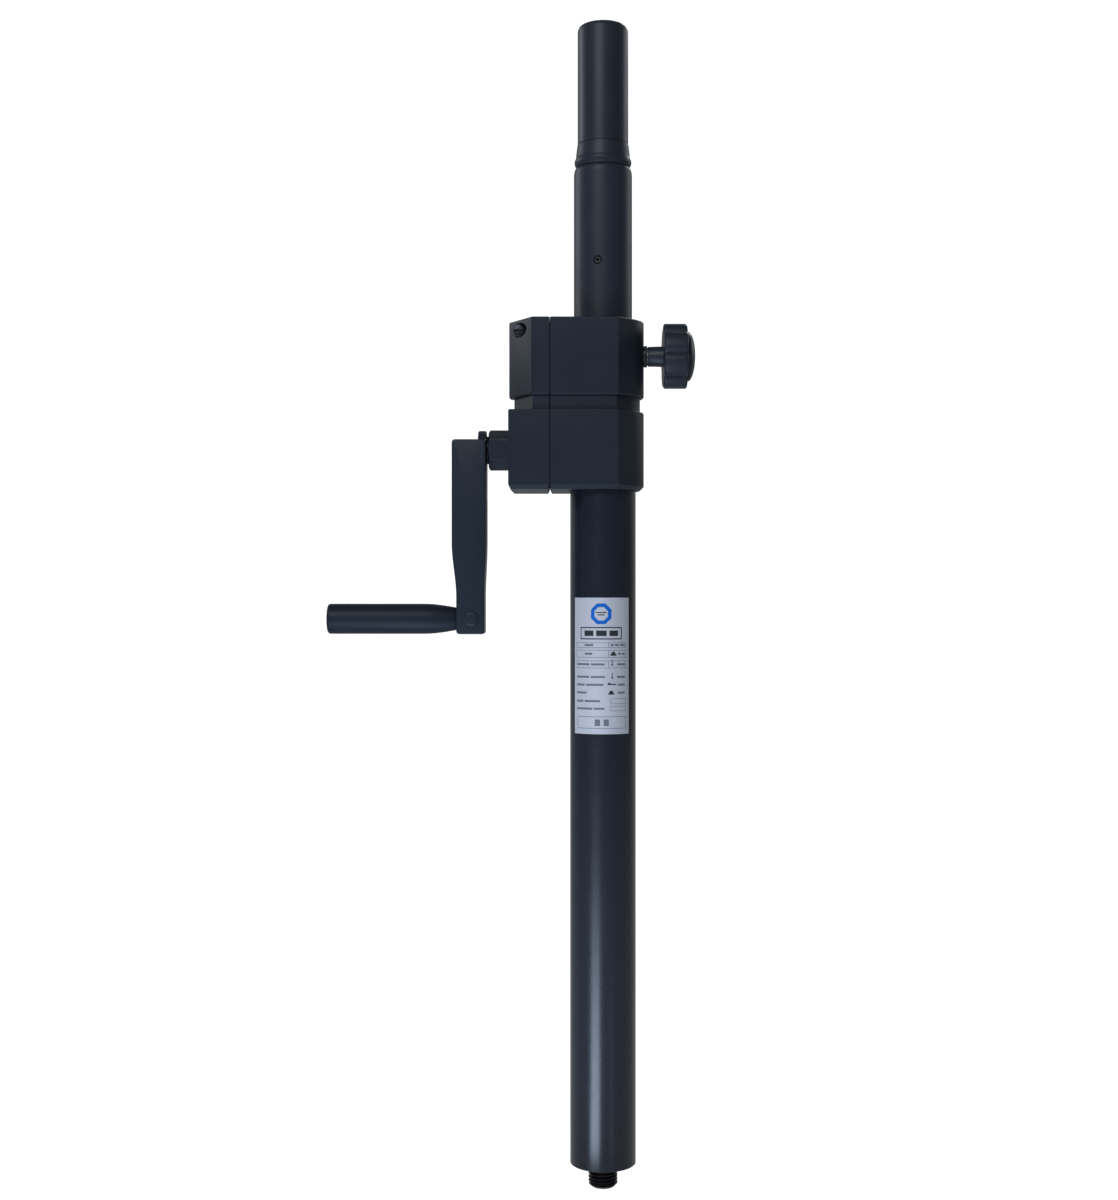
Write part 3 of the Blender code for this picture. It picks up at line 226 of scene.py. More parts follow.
def soft_box(name, place, aim, size, power, spread=180):
    """A square soft box at one place, turned to shine at another, its beam as wide as spread."""
    lamp = bpy.data.lights.new(name, "AREA")
    lamp.shape = "SQUARE"
    lamp.size = size
    lamp.energy = power
    lamp.spread = math.radians(spread)
    lamp.color = (0.93, 0.96, 1.0)
    holder = bpy.data.objects.new(name, lamp)
    holder.location = place
    holder.rotation_euler = (Vector(aim) - Vector(place)).to_track_quat("-Z", "Y").to_euler()
    holder.visible_camera = False
    bpy.context.scene.collection.objects.link(holder)


CARD_NEAR = 0.1
CARD_FAR = 1.13
CARD_LIFT = 0.002


def floor_card(name, start, end, strength):
    """A wedge of light on the floor in front, between two bearings from the pole, brightest near it."""
    wedge = bmesh.new()
    corners = []
    for reach, degrees in ((CARD_NEAR, start), (CARD_FAR, start), (CARD_FAR, end), (CARD_NEAR, end)):
        bearing = math.radians(degrees)
        corners.append(wedge.verts.new((reach * math.sin(bearing), -reach * math.cos(bearing), 0.0)))
    wedge.faces.new(corners)
    bmesh.ops.translate(wedge, verts=wedge.verts, vec=(0, 0, FLOOR_Z + CARD_LIFT))
    mesh = bpy.data.meshes.new(name)
    wedge.to_mesh(mesh)
    wedge.free()
    shine = bpy.data.materials.new(name)
    shine.use_nodes = True
    sheet = Signal(shine.node_tree)
    place = sheet.node("ShaderNodeTexCoord", output="Object")
    reach = sheet.node("ShaderNodeVectorMath", {"operation": "LENGTH"}, {0: place}, output=1)
    fade = sheet.node("ShaderNodeValToRGB", {"stops": [(0.35, 1.0), (0.85, 0.0)]}, {"Fac": reach * 0.75})
    tint = sheet.node("ShaderNodeMix", {"data_type": "RGBA"},
                      {0: fade, 6: (0, 0, 0, 1), 7: (0.66, 0.8, 1.0, 1)}, output=2)
    shader = shine.node_tree.nodes["Principled BSDF"]
    shader.inputs["Base Color"].default_value = (0, 0, 0, 1)
    shader.inputs["Specular IOR Level"].default_value = 0.0
    shader.inputs["Emission Strength"].default_value = strength
    shine.node_tree.links.new(tint.socket, shader.inputs["Emission Color"])
    mesh.materials.append(shine)
    card = bpy.data.objects.new(name, mesh)
    card.visible_camera = False
    card.visible_shadow = False
    bpy.context.scene.collection.objects.link(card)


POLE_MIDDLE = (0, 0, 0.4)
SPIGOT_LEVEL = (0, 0, 0.72)
soft_box("key_box", (-0.7, -1.9, 1.9), POLE_MIDDLE, 1.0, 42)
soft_box("left_box", (-1.5, 0.8, 1.2), SPIGOT_LEVEL, 0.7, 1.5, spread=75)
soft_box("right_box", (1.5, 1.0, 1.2), SPIGOT_LEVEL, 0.7, 0.9, spread=75)
soft_box("back_box", (0.9, 1.9, 2.0), POLE_MIDDLE, 0.8, 16)
floor_card("near_card", -42, -13, 11.5)
floor_card("side_card", 22, 30, 1.6)


# ---------------------------------------------------------------- lower tube
# A steel tube, 45 mm across with a 1.5 mm wall, cut square at both ends and
# powder coated black with a slight gloss.
AXES = {
    "Z": Matrix.Identity(4),
    "X": Matrix(((0, 0, 1, 0), (0, -1, 0, 0), (1, 0, 0, 0), (0, 0, 0, 1))),
    "Y": Matrix(((1, 0, 0, 0), (0, 0, 1, 0), (0, -1, 0, 0), (0, 0, 0, 1))),
    "-Y": Matrix(((1, 0, 0, 0), (0, 0, -1, 0), (0, 1, 0, 0), (0, 0, 0, 1))),
}


def settle(shape, axis="Z", at=(0, 0, 0)):
    """Turn a shape made in millimetres to its axis, move it to its place, and scale it to metres."""
    bmesh.ops.recalc_face_normals(shape, faces=shape.faces)
    move = Matrix.Scale(MM, 4) @ Matrix.Translation(at) @ AXES[axis]
    bmesh.ops.transform(shape, verts=shape.verts, matrix=move)
    return shape


def lathe(profile, axis="Z", at=(0, 0, 0), steps=96):
    """Spin (radius, height) points round an axis. A profile off the axis is closed into a ring."""
    shape = bmesh.new()
    verts = [shape.verts.new((radius, 0, height)) for radius, height in profile]
    edges = [shape.edges.new(pair) for pair in zip(verts, verts[1:])]
    if profile[0][0] > 0:
        edges.append(shape.edges.new((verts[-1], verts[0])))
    bmesh.ops.spin(shape, geom=verts + edges, cent=(0, 0, 0), axis=(0, 0, 1), angle=math.tau, steps=steps,
                   use_merge=True, use_duplicate=False)
    bmesh.ops.remove_doubles(shape, verts=shape.verts, dist=0.0005)
    return settle(shape, axis, at)


def ring(outer, bore, low, high, chamfer=0.3, axis="Z", at=(0, 0, 0), steps=96):
    """A sleeve with both outer edges and both inner edges broken by a small chamfer."""
    inner = chamfer / 2
    return lathe([(outer - chamfer, high), (outer, high - chamfer), (outer, low + chamfer),
                  (outer - chamfer, low), (bore + inner, low), (bore, low + inner), (bore, high - inner),
                  (bore + inner, high)], axis, at, steps)


def rod(radius, low, high, chamfer=0.0, axis="Z", at=(0, 0, 0), steps=64):
    """A solid round bar, its ends chamfered when asked."""
    if chamfer:
        ends = [(0, high), (radius - chamfer, high), (radius, high - chamfer), (radius, low + chamfer),
                (radius - chamfer, low), (0, low)]
    else:
        ends = [(0, high), (radius, high), (radius, low), (0, low)]
    return lathe(ends, axis, at, steps)


def fit(name, shape, material, body, slot, *nodes, sharp=32):
    """Make a shape a piece with its finish and its body, and hide the CAD nodes it stands for. Its slot
    argument is not used.
    """
    mesh = bpy.data.meshes.new(name)
    shape.to_mesh(mesh)
    shape.free()
    mesh.shade_smooth()
    mesh.set_sharp_from_angle(angle=math.radians(sharp))
    mesh.materials.append(material)
    made = bpy.data.objects.new(name, mesh)
    bpy.context.scene.collection.objects.link(made)
    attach(made, body)
    if nodes:
        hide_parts(*nodes)
    return made


TUBE_R = 22.5
TUBE_BORE = 21.0
TUBE_TOP = 496.0
gloss_coat = surface("gloss_powder_coat", (0.005, 0.0078, 0.0145), 0.27, grain=900, bump=0.006, wear=0.04,
                     gleam=0.4)
fit("outer_tube", ring(TUBE_R, TUBE_BORE, 0.0, TUBE_TOP, 0.35, steps=160), gloss_coat, "lower_pole",
    "lower_tube_paint", "lower_tube")


# ---------------------------------------------------------------- plug and stud
# The turned steel plug closes the tube's foot, and the M20 stud with its 2.5 mm pitch
# is locked through it and screws into a speaker or a base plate.
STUD_R = 10.0
STUD_ROOT = 8.45
STUD_LOW = -16.0
STUD_TOP = 36.5
STUD_TIP_R = 7.6
PITCH = 2.5
PLUG_R = 20.7
PLUG_BORE = 10.3
PLUG_TOP = 22.0


def carved(shape, tools, operation="DIFFERENCE"):
    """Cut tools out of a shape, or keep what they share, and return the new shape."""
    def as_object(source):
        mesh = bpy.data.meshes.new("work")
        source.to_mesh(mesh)
        source.free()
        made = bpy.data.objects.new("work", mesh)
        bpy.context.scene.collection.objects.link(made)
        return made

    block = as_object(shape)
    helpers = [as_object(tool) for tool in tools]
    for helper in helpers:
        boolean = block.modifiers.new("cut", "BOOLEAN")
        boolean.operation = operation
        boolean.object = helper
        boolean.solver = "EXACT"
    bpy.context.view_layer.update()
    evaluated = block.evaluated_get(bpy.context.evaluated_depsgraph_get())
    result = bmesh.new()
    result.from_mesh(evaluated.to_mesh())
    for used in [block] + helpers:
        bpy.data.objects.remove(used, do_unlink=True)
    bmesh.ops.remove_doubles(result, verts=result.verts, dist=0.000002)
    return result


def threaded(root, crest, pitch, low, high, steps=40):
    """A rod with a V thread: a zigzag edge is swept one turn up by one pitch, then trimmed flat."""
    shape = bmesh.new()
    turns = int((high - low) / pitch) + 3
    points = []
    root_end, crest_start, crest_end = 0.12 * pitch, 0.5 * pitch, 0.62 * pitch
    for turn in range(turns):
        base = low - pitch * 1.5 + turn * pitch
        points += [(root, base), (root, base + root_end), (crest, base + crest_start),
                   (crest, base + crest_end)]
    verts = [shape.verts.new((r, 0, z)) for r, z in points]
    edges = [shape.edges.new(pair) for pair in zip(verts, verts[1:])]
    bmesh.ops.spin(shape, geom=verts + edges, cent=(0, 0, 0), axis=(0, 0, 1), dvec=(0, 0, pitch / steps),
                   angle=math.tau, steps=steps, use_merge=False, use_duplicate=False)
    bmesh.ops.remove_doubles(shape, verts=shape.verts, dist=0.01)
    for level, side in ((low, -1), (high, 1)):
        geometry = shape.verts[:] + shape.edges[:] + shape.faces[:]
        bmesh.ops.bisect_plane(shape, geom=geometry, plane_co=(0, 0, level), plane_no=(0, 0, side),
                               clear_outer=True)
    bmesh.ops.holes_fill(shape, edges=[e for e in shape.edges if e.is_boundary], sides=0)
    bmesh.ops.triangulate(shape, faces=[f for f in shape.faces if len(f.verts) > 4])
    return settle(shape)


zinc_plate = surface("zinc_plate", (0.42, 0.42, 0.43), 0.33, metallic=1.0, grain=700, bump=0.01,
                     stretch=(1, 1, 0.15), wear=0.2)
# Black oxide, very dark, the real finish of the black steel pieces. The nose screw and the crank shaft are
# bright steel but get it too, as painted shade: the screw sits in a shadowed counterbore, and the shaft's
# collar sits in the shadowed gap behind the arm's lug.
black_oxide_and_painted_shade = surface("black_oxide_and_painted_shade", (0.028, 0.029, 0.033), 0.42, metallic=0.85, grain=1600, bump=0.01,
                      wear=0.35)
fit("tube_plug", ring(PLUG_R, PLUG_BORE, 0.0, PLUG_TOP, 0.4), zinc_plate, "lower_pole", "bright_steel",
    "base_plug")
screw_thread = threaded(STUD_ROOT, STUD_R, PITCH, STUD_LOW, STUD_TOP)
tip = lathe([(0, STUD_TOP + 0.5), (STUD_R, STUD_TOP - 0.5), (STUD_R, STUD_LOW + 2.0), (STUD_TIP_R, STUD_LOW),
             (0, STUD_LOW)], steps=80)
fit("foot_stud", carved(screw_thread, [tip], "INTERSECT"), black_oxide_and_painted_shade, "lower_pole", "black_steel",
    "mounting_stud", sharp=24)


# ---------------------------------------------------------------- rating label
# A silver film label wrapped round the front of the tube. Its print is plain shapes:
# a blue octagon badge, framed boxes, ruled rows and short bars in place of any words.
LABEL_R = 22.62
LABEL_THICK = 0.13
LABEL_TOP = 387.6
LABEL_HIGH = 92.1
LABEL_LEFT = -148.5
LABEL_SWEEP = 107
INK_THICK = 0.02
BADGE_AT = (21.3, 10.9, 0)
BADGE_R = 7.6
BADGE_BAND = 2.5
MM_PER_DEGREE = LABEL_R * math.pi / 180
LABEL_WIDE = LABEL_SWEEP * MM_PER_DEGREE


def wrapped(shape, lift, thick):
    """Bend a flat drawing (x across, y down from the label's top, mm) round the tube and thicken it."""
    for step in range(1, int(LABEL_WIDE)):
        bmesh.ops.bisect_plane(shape, geom=shape.verts[:] + shape.edges[:] + shape.faces[:],
                               plane_co=(step, 0, 0), plane_no=(1, 0, 0))
    top = bmesh.ops.extrude_face_region(shape, geom=shape.faces[:])
    for v in (v for v in top["geom"] if isinstance(v, bmesh.types.BMVert)):
        v.co.z = thick
    for v in shape.verts:
        angle = math.radians(LABEL_LEFT + v.co.x / MM_PER_DEGREE)
        radius = LABEL_R + lift + v.co.z
        v.co = (radius * math.cos(angle), radius * math.sin(angle), LABEL_TOP - v.co.y)
    return settle(shape)


def drawn(shape, x0, y0, x1, y1):
    """Add a rectangle to a flat drawing."""
    shape.faces.new([shape.verts.new((x, y, 0)) for x, y in ((x0, y0), (x1, y0), (x1, y1), (x0, y1))])


def framed(shape, x0, y0, x1, y1, line):
    """Add the outline of a box to a flat drawing."""
    drawn(shape, x0, y0, x1, y0 + line)
    drawn(shape, x0, y1 - line, x1, y1)
    drawn(shape, x0, y0 + line, x0 + line, y1 - line)
    drawn(shape, x1 - line, y0 + line, x1, y1 - line)


silver_film = surface("silver_film", (0.385, 0.395, 0.435), 0.5, metallic=0.2, grain=1500, bump=0.004,
                      shade=0.03)
black_ink = surface("black_ink", (0.02, 0.022, 0.026), 0.5, grain=1500, bump=0.002)
grey_ink = surface("grey_ink", (0.11, 0.12, 0.14), 0.5, grain=1500, bump=0.002)
blue_ink = surface("blue_ink", (0.004, 0.085, 0.36), 0.45, grain=1500, bump=0.002)

film = bmesh.new()
drawn(film, 0, 0, LABEL_WIDE, LABEL_HIGH)
fit("label_film", wrapped(film, 0, LABEL_THICK), silver_film, "lower_pole", "label_film", "rating_label")

badge = bmesh.new()
flat_topped = Matrix.Rotation(math.radians(22.5), 4, "Z")
bmesh.ops.create_circle(badge, cap_ends=True, segments=8, radius=BADGE_R,
                        matrix=Matrix.Translation(BADGE_AT) @ flat_topped)
middle = badge.faces[:]
bmesh.ops.inset_region(badge, faces=middle, thickness=BADGE_BAND, use_even_offset=True, use_boundary=True)
bmesh.ops.delete(badge, geom=middle, context="FACES_ONLY")
fit("label_badge", wrapped(badge, LABEL_THICK, INK_THICK), blue_ink, "lower_pole", "label_film", sharp=60)

marks = bmesh.new()
framed(marks, 6.1, 19.8, 35.9, 28.2, 0.75)
for left, right in ((9.4, 16.0), (17.9, 25.0), (26.9, 33.0)):
    drawn(marks, left, 22.2, right, 25.9)
drawn(marks, 17.6, 9.7, 24.9, 10.4)
drawn(marks, 19.0, 11.3, 23.6, 12.0)
for x, y in ((27.6, 38.4), (26.1, 64.6)):
    drawn(marks, x + 1.1, y - 1.9, x + 3.0, y - 1.2)
    drawn(marks, x + 0.6, y - 1.2, x + 3.5, y - 0.2)
    drawn(marks, x, y - 0.2, x + 4.2, y + 0.8)
for y in (43.8, 52.6):
    drawn(marks, 28.5, y - 1.7, 29.1, y + 1.3)
    drawn(marks, 27.9, y + 1.3, 29.7, y + 1.9)
drawn(marks, 25.7, 58.1, 31.7, 58.9)
drawn(marks, 25.7, 57.5, 27.7, 58.1)
fit("label_marks", wrapped(marks, LABEL_THICK, INK_THICK), black_ink, "lower_pole", "label_film", sharp=60)

lines = bmesh.new()
for top, bottom in ((30.3, 33.9), (35.3, 40.5), (42.5, 47.6)):
    framed(lines, 2.1, top, 39.5, bottom, 0.32)
    drawn(lines, 26.2, top, 26.52, bottom)
framed(lines, 27.6, 68.1, 39.5, 71.7, 0.28)
framed(lines, 27.6, 73.2, 39.5, 76.6, 0.28)
framed(lines, 3.4, 80.2, 39.2, 88.4, 0.38)
drawn(lines, 17.0, 82.1, 20.6, 86.5)
drawn(lines, 23.0, 82.1, 26.5, 86.5)
words = ((32.1, ((9.4, 15.9), (27.8, 30.0), (30.8, 33.6), (34.4, 38.6))),
         (38.0, ((9.6, 15.2), (33.0, 35.2), (36.0, 38.4))),
         (45.1, ((2.9, 13.2), (14.3, 23.6), (32.2, 38.6))),
         (53.6, ((2.7, 12.9), (14.0, 23.8), (32.2, 38.6))),
         (58.9, ((2.7, 9.5), (10.6, 22.8), (33.0, 38.4))),
         (64.3, ((2.7, 11.0), (32.8, 38.4))),
         (69.9, ((2.7, 8.4), (9.5, 20.6))),
         (75.0, ((2.7, 15.2), (16.3, 23.6))))
for y, bars in words:
    for left, right in bars:
        drawn(lines, left, y - 0.8, right, y + 0.6)
fit("label_lines", wrapped(lines, LABEL_THICK, 0.015), grey_ink, "lower_pole", "label_film", sharp=60)


# ---------------------------------------------------------------- gear housing
# A cast aluminium block clamped round the top of the lower tube. A narrower neck joins its
# two halves, its flat sides run out to a round clamp side, and every edge is broken.
FLAT_Y = 30.0
ROUND_R = 28.0
SEAM_X = -36.4
NOSE_TIP = -64.3
BLOCK_LOW = 460.6
NECK_LOW = 514.0
NECK_HIGH = 524.0
BLOCK_TOP = 576.0
NECK_IN = 2.6
NECK_OVERLAP = 3.0
FOOT_CHAMFER = 2.9
TOP_ROUND = 0.9
SEAM_BREAK = 0.45
TUBE_SOCKET_R = 22.8
TUBE_SOCKET_TOP = 498.4
MAST_BORE_R = 20.6
BUSH_SEAT_R = 23.0
BUSH_SEAT_LOW = 560.0
WHEEL_POCKET_R = 21.2
WHEEL_POCKET_HALF = 5.7
WORM_POCKET_R = 9.3
AXLE_R = 3.3
AXLE_HALF = 14.0
CROSS_HOLE_R = 2.3
COVER_HOLE_R = 2.6
LOCK_HOLE_R = 2.8
LOCK_SCREW_HEIGHTS = (470.0, 486.0)
AXLE_Z = 514.7
CRANK_Z = 488.7
CROSS_X = -57.0
CROSS_Z = 568.8
CLAMP_Z = 553.1
COVER_SCREWS = [(y, z) for y in (-22.0, 22.0) for z in (470.0, 505.0)]


def bar(radius, low, high, axis, at, chamfer=0.0, steps=48):
    """A plain round tool for cutting a hole."""
    return rod(radius, low, high, chamfer, axis, at, steps)


def box(x, y, z):
    """A plain block between two x, two y and two z values."""
    shape = bmesh.new()
    size = Matrix.Diagonal((x[1] - x[0], y[1] - y[0], z[1] - z[0], 1))
    middle = Matrix.Translation(((x[0] + x[1]) / 2, (y[0] + y[1]) / 2, (z[0] + z[1]) / 2))
    bmesh.ops.create_cube(shape, size=1.0, matrix=middle @ size)
    return settle(shape)


def stacked(levels, plan, axis="Z", at=(0, 0, 0)):
    """Skin a casting over its outlines. Each level is a height, the outline's inset and the seam's inset."""
    shape = bmesh.new()
    loops = []
    for height, inset, seam in levels:
        verts = [shape.verts.new((x, y, height)) for x, y in plan(inset, seam)]
        loops.append([shape.edges.new((verts[i - 1], verts[i])) for i in range(len(verts))])
    for low, high in zip(loops, loops[1:]):
        bmesh.ops.bridge_loops(shape, edges=low + high)
    bmesh.ops.holes_fill(shape, edges=loops[0] + loops[-1], sides=0)
    return settle(shape, axis, at)


def clamp_plan(inset, seam):
    """The clamp half: flat front and back, 45 degree faces, then a round side."""
    y = FLAT_Y - inset
    turn = (ROUND_R - inset) * math.sin(math.radians(45))
    bend = 2 * turn - y
    left = SEAM_X + 0.05 + seam
    half = [(left, -y + SEAM_BREAK), (left + SEAM_BREAK, -y), (bend, -y)]
    arc = [((ROUND_R - inset) * math.cos(a), (ROUND_R - inset) * math.sin(a))
           for a in (math.radians(-45 + 3 * i) for i in range(31))]
    return half + arc + [(x, -y) for x, y in reversed(half)]


def block_levels(low, high, foot, top):
    """A block's heights and insets, with a chamfer at its foot and a round edge at its top."""
    edge = [(low, foot, min(foot, 1.1)), (low + foot * 0.94, 0.1, 0.1), (low + foot + 0.4, 0.0, 0.0)]
    for i in range(4):
        turn = math.radians(30 * i)
        inset = top * (1 - math.cos(turn))
        edge.append((high - top * (1 - math.sin(turn)), inset, inset))
    return edge


def neck_levels():
    return [(NECK_LOW - NECK_OVERLAP, NECK_IN, 0.1), (NECK_HIGH + NECK_OVERLAP, NECK_IN, 0.1)]


cast_coat = surface("cast_satin_coat", (0.0095, 0.0135, 0.0205), 0.46, grain=1900, bump=0.035, wear=0.05)
upper_levels = block_levels(NECK_HIGH, BLOCK_TOP, 0.8, TOP_ROUND)
lower_levels = block_levels(BLOCK_LOW, NECK_LOW, FOOT_CHAMFER, TOP_ROUND)
tongue = box((-60.0, -30.0), (-6, 6), (560.4, 573.6))
clamp_half = carved(stacked(lower_levels, clamp_plan),
                    [stacked(neck_levels(), clamp_plan), stacked(upper_levels, clamp_plan), tongue], "UNION")
holes = [
    bar(TUBE_SOCKET_R, BLOCK_LOW - 2.6, TUBE_SOCKET_TOP, "Z", (0, 0, 0), steps=120),
    bar(MAST_BORE_R, 490, 580, "Z", (0, 0, 0), steps=120),
    bar(BUSH_SEAT_R, BUSH_SEAT_LOW, 580, "Z", (0, 0, 0), steps=120),
    lathe([(0, 570), (22.9, 570), (22.9, 575.2), (24.2, 576.5), (24.2, 580), (0, 580)], steps=120),
    lathe([(0, 458), (24.3, 458), (24.3, 460.2), (22.7, 461.8), (22.7, 470), (0, 470)], steps=120),
    bar(WHEEL_POCKET_R, -WHEEL_POCKET_HALF, WHEEL_POCKET_HALF, "Y", (SEAM_X, 0, AXLE_Z)),
    bar(WORM_POCKET_R, -40, -28.1, "X", (0, 0, CRANK_Z)),
    bar(6.3, -32, -23.9, "X", (0, 0, CRANK_Z)),
    bar(AXLE_R, -AXLE_HALF, AXLE_HALF, "Y", (SEAM_X, 0, AXLE_Z)),
    bar(CROSS_HOLE_R, -8, 8, "Y", (CROSS_X, 0, CROSS_Z)),
    bar(7.1, 25.4, 32, "X", (0, 0, CLAMP_Z)),
    bar(5.9, 18, 26, "X", (0, 0, CLAMP_Z)),
]
holes += [bar(LOCK_HOLE_R, 18, 32, "Y", (0, 0, z)) for z in LOCK_SCREW_HEIGHTS]
holes += [bar(COVER_HOLE_R, -40, -20, "X", (0, y, z)) for y, z in COVER_SCREWS]
clamp_half = carved(clamp_half, holes)
fit("clamp_housing", clamp_half, cast_coat, "lower_pole", "housing_paint", "gear_housing", sharp=14)


# ---------------------------------------------------------------- gear cover
# The cover closes the gears on the crank's side. Its upper part narrows to a blunt nose
# with a counterbored cross screw, and four cap screws sit in round recesses in its left face.
NOSE_X = -48.5
NOSE_HALF = 4.0
CORNER_BREAK = 0.5
COUNTERBORE_R = 4.9
COUNTERBORE_Y = 11.5
HEAD_RECESS_R = 4.6
HEAD_RECESS_X = -59.5


def cover_plan(inset, seam):
    """The lower block's outline: a rectangle with broken corners."""
    right = SEAM_X - 0.05 - seam
    y = FLAT_Y - inset
    left = NOSE_TIP + inset
    front = [(left, -y + CORNER_BREAK), (left + CORNER_BREAK, -y), (right - SEAM_BREAK, -y),
             (right, -y + SEAM_BREAK)]
    return front + [(x, -y) for x, y in reversed(front)]


def nose_plan(inset, seam):
    """The upper block's outline: it narrows from its shoulders to a blunt nose."""
    right = SEAM_X - 0.05 - seam
    y = FLAT_Y - inset
    left = NOSE_TIP + inset * 1.35
    shoulder = NOSE_X + inset / 3
    front = [(left, -NOSE_HALF + inset / 3), (shoulder - 0.3, -y + CORNER_BREAK), (shoulder + 0.4, -y),
             (right - SEAM_BREAK, -y), (right, -y + SEAM_BREAK)]
    return front + [(x, -y) for x, y in reversed(front)]


crank_half = carved(stacked(lower_levels, cover_plan),
                    [stacked(neck_levels(), nose_plan), stacked(upper_levels, nose_plan)], "UNION")
holes = [
    bar(WHEEL_POCKET_R, -WHEEL_POCKET_HALF, WHEEL_POCKET_HALF, "Y", (SEAM_X, 0, AXLE_Z)),
    bar(WORM_POCKET_R, -50.9, -30, "X", (0, 0, CRANK_Z)),
    bar(8.6, -70, -50, "X", (0, 0, CRANK_Z)),
    bar(AXLE_R, -AXLE_HALF, AXLE_HALF, "Y", (SEAM_X, 0, AXLE_Z)),
    box((-60.3, -34.4), (-6.3, 6.3), (560.1, 573.9)),
    bar(CROSS_HOLE_R, -20, 20, "Y", (CROSS_X, 0, CROSS_Z)),
    bar(COUNTERBORE_R, -40, -COUNTERBORE_Y, "Y", (CROSS_X, 0, CROSS_Z)),
    bar(COUNTERBORE_R, COUNTERBORE_Y, 40, "Y", (CROSS_X, 0, CROSS_Z)),
]
holes += [bar(COVER_HOLE_R, -70, -30, "X", (0, y, z)) for y, z in COVER_SCREWS]
holes += [bar(HEAD_RECESS_R, -70, HEAD_RECESS_X, "X", (0, y, z)) for y, z in COVER_SCREWS]
crank_half = carved(crank_half, holes)
fit("crank_cover", crank_half, cast_coat, "lower_pole", "housing_paint", "gear_cover", sharp=14)


# ---------------------------------------------------------------- housing fasteners
# One slotted cross screw with its nut, four hexagon socket cap screws in the cover,
# and two socket set screws at the back, which lock the tube and keep their CAD shapes.
SLOT_HALF = 0.55
SOCKET_R = 2.1
SOCKET_DEEP_X = -61.6
nose_screw = lathe([(0, 3.0), (3.6, 3.0), (4.1, 2.75), (4.3, 2.2), (4.3, 0), (2.0, 0), (2.0, -25.8),
                    (0, -25.8)], "-Y", (CROSS_X, -11.8, CROSS_Z))
slot = box((CROSS_X - 6, CROSS_X + 6), (-16, -13.7), (CROSS_Z - SLOT_HALF, CROSS_Z + SLOT_HALF))
# The cross screw is bright steel; its black finish is painted shade for the dark counterbore it sits in.
fit("nose_screw", carved(nose_screw, [slot]), black_oxide_and_painted_shade, "lower_pole", "bright_steel", "cover_cross_screw")
for place, (y, z) in zip(("front_lower", "front_upper", "back_lower", "back_upper"), COVER_SCREWS):
    head = lathe([(0, -63.8), (3.5, -63.8), (3.95, -63.6), (4.2, -63.1), (4.2, -59.8), (2.3, -59.8),
                  (2.3, -21.8), (0, -21.8)], "X", (0, y, z))
    socket = rod(SOCKET_R, -66, SOCKET_DEEP_X, 0, "X", (0, y, z), steps=6)
    fit("cap_screw_" + place, carved(head, [socket]), black_oxide_and_painted_shade, "lower_pole", "black_steel",
        "cover_screw_" + place)


# ---------------------------------------------------------------- top bush
# The grey-black plastic bush in the mouth of the housing, in which the mast slides.
bush_plastic = surface("bush_plastic", (0.03, 0.034, 0.04), 0.45, grain=1200, bump=0.02)
BUSH_R = 22.7
BUSH_BORE = 20.22
BUSH_LOW = 560.3
BUSH_TOP = 575.4
fit("mouth_bush", ring(BUSH_R, BUSH_BORE, BUSH_LOW, BUSH_TOP, 0.5, steps=128), bush_plastic, "lower_pole",
    "guide_plastic", "top_guide_bush")


# ---------------------------------------------------------------- inner tube
# The 40 mm mast tube. Its top is swaged in to hold the spigot, and a slot down
# its crank side lets the gear wheel reach the rack inside.
matt_coat = surface("matt_tube_coat", (0.0135, 0.0175, 0.026), 0.45, grain=1500, bump=0.02, wear=0.08)
MAST_R = 20.0
MAST_BORE = 18.0
MAST_LOW = 91.8
RACK_SLOT_HALF = 6.0
RACK_SLOT_TOP = 536.0
RACK_SCREW_Z = 541.3
FOOT_SCREW_Z = 100.0
GRUB_TURN = math.radians(-102.1)
GRUB_LEVEL = 0.616
swage = [(16.0, 682.0), (18.2, 682.0), (18.9, 681.5), (19.4, 680.5), (19.75, 679.2), (19.92, 677.8),
         (MAST_R, 676.0), (MAST_R, MAST_LOW + 0.3), (MAST_R - 0.3, MAST_LOW), (MAST_BORE, MAST_LOW),
         (MAST_BORE, 673.0), (16.0, 679.0)]
mast_tube = carved(lathe(swage, steps=144), [
    box((-25, -14), (-RACK_SLOT_HALF, RACK_SLOT_HALF), (86, RACK_SLOT_TOP)),
    bar(1.8, -22, -14, "X", (0, 0, RACK_SCREW_Z)),
    bar(3.4, -22, -18.8, "X", (0, 0, RACK_SCREW_Z)),
    bar(2.8, 14, 22, "X", (0, 0, FOOT_SCREW_Z)),
])


def on_grub_line(shape):
    """Lay an upright shape along the set screw's line, which runs out a little left of front."""
    outwards = Vector((math.cos(GRUB_TURN), math.sin(GRUB_TURN), 0))
    turn = outwards.to_track_quat("Z", "Y").to_matrix().to_4x4()
    bmesh.ops.transform(shape, verts=shape.verts, matrix=Matrix.Translation((0, 0, GRUB_LEVEL)) @ turn)
    return shape


grub_hole = lathe([(0, 24), (3.3, 24), (3.3, 20.2), (2.8, 19.5), (2.8, 14), (0, 14)])
mast_tube = carved(mast_tube, [on_grub_line(grub_hole)])
fit("mast_tube", mast_tube, matt_coat, "mast", "tube_paint", "inner_tube")


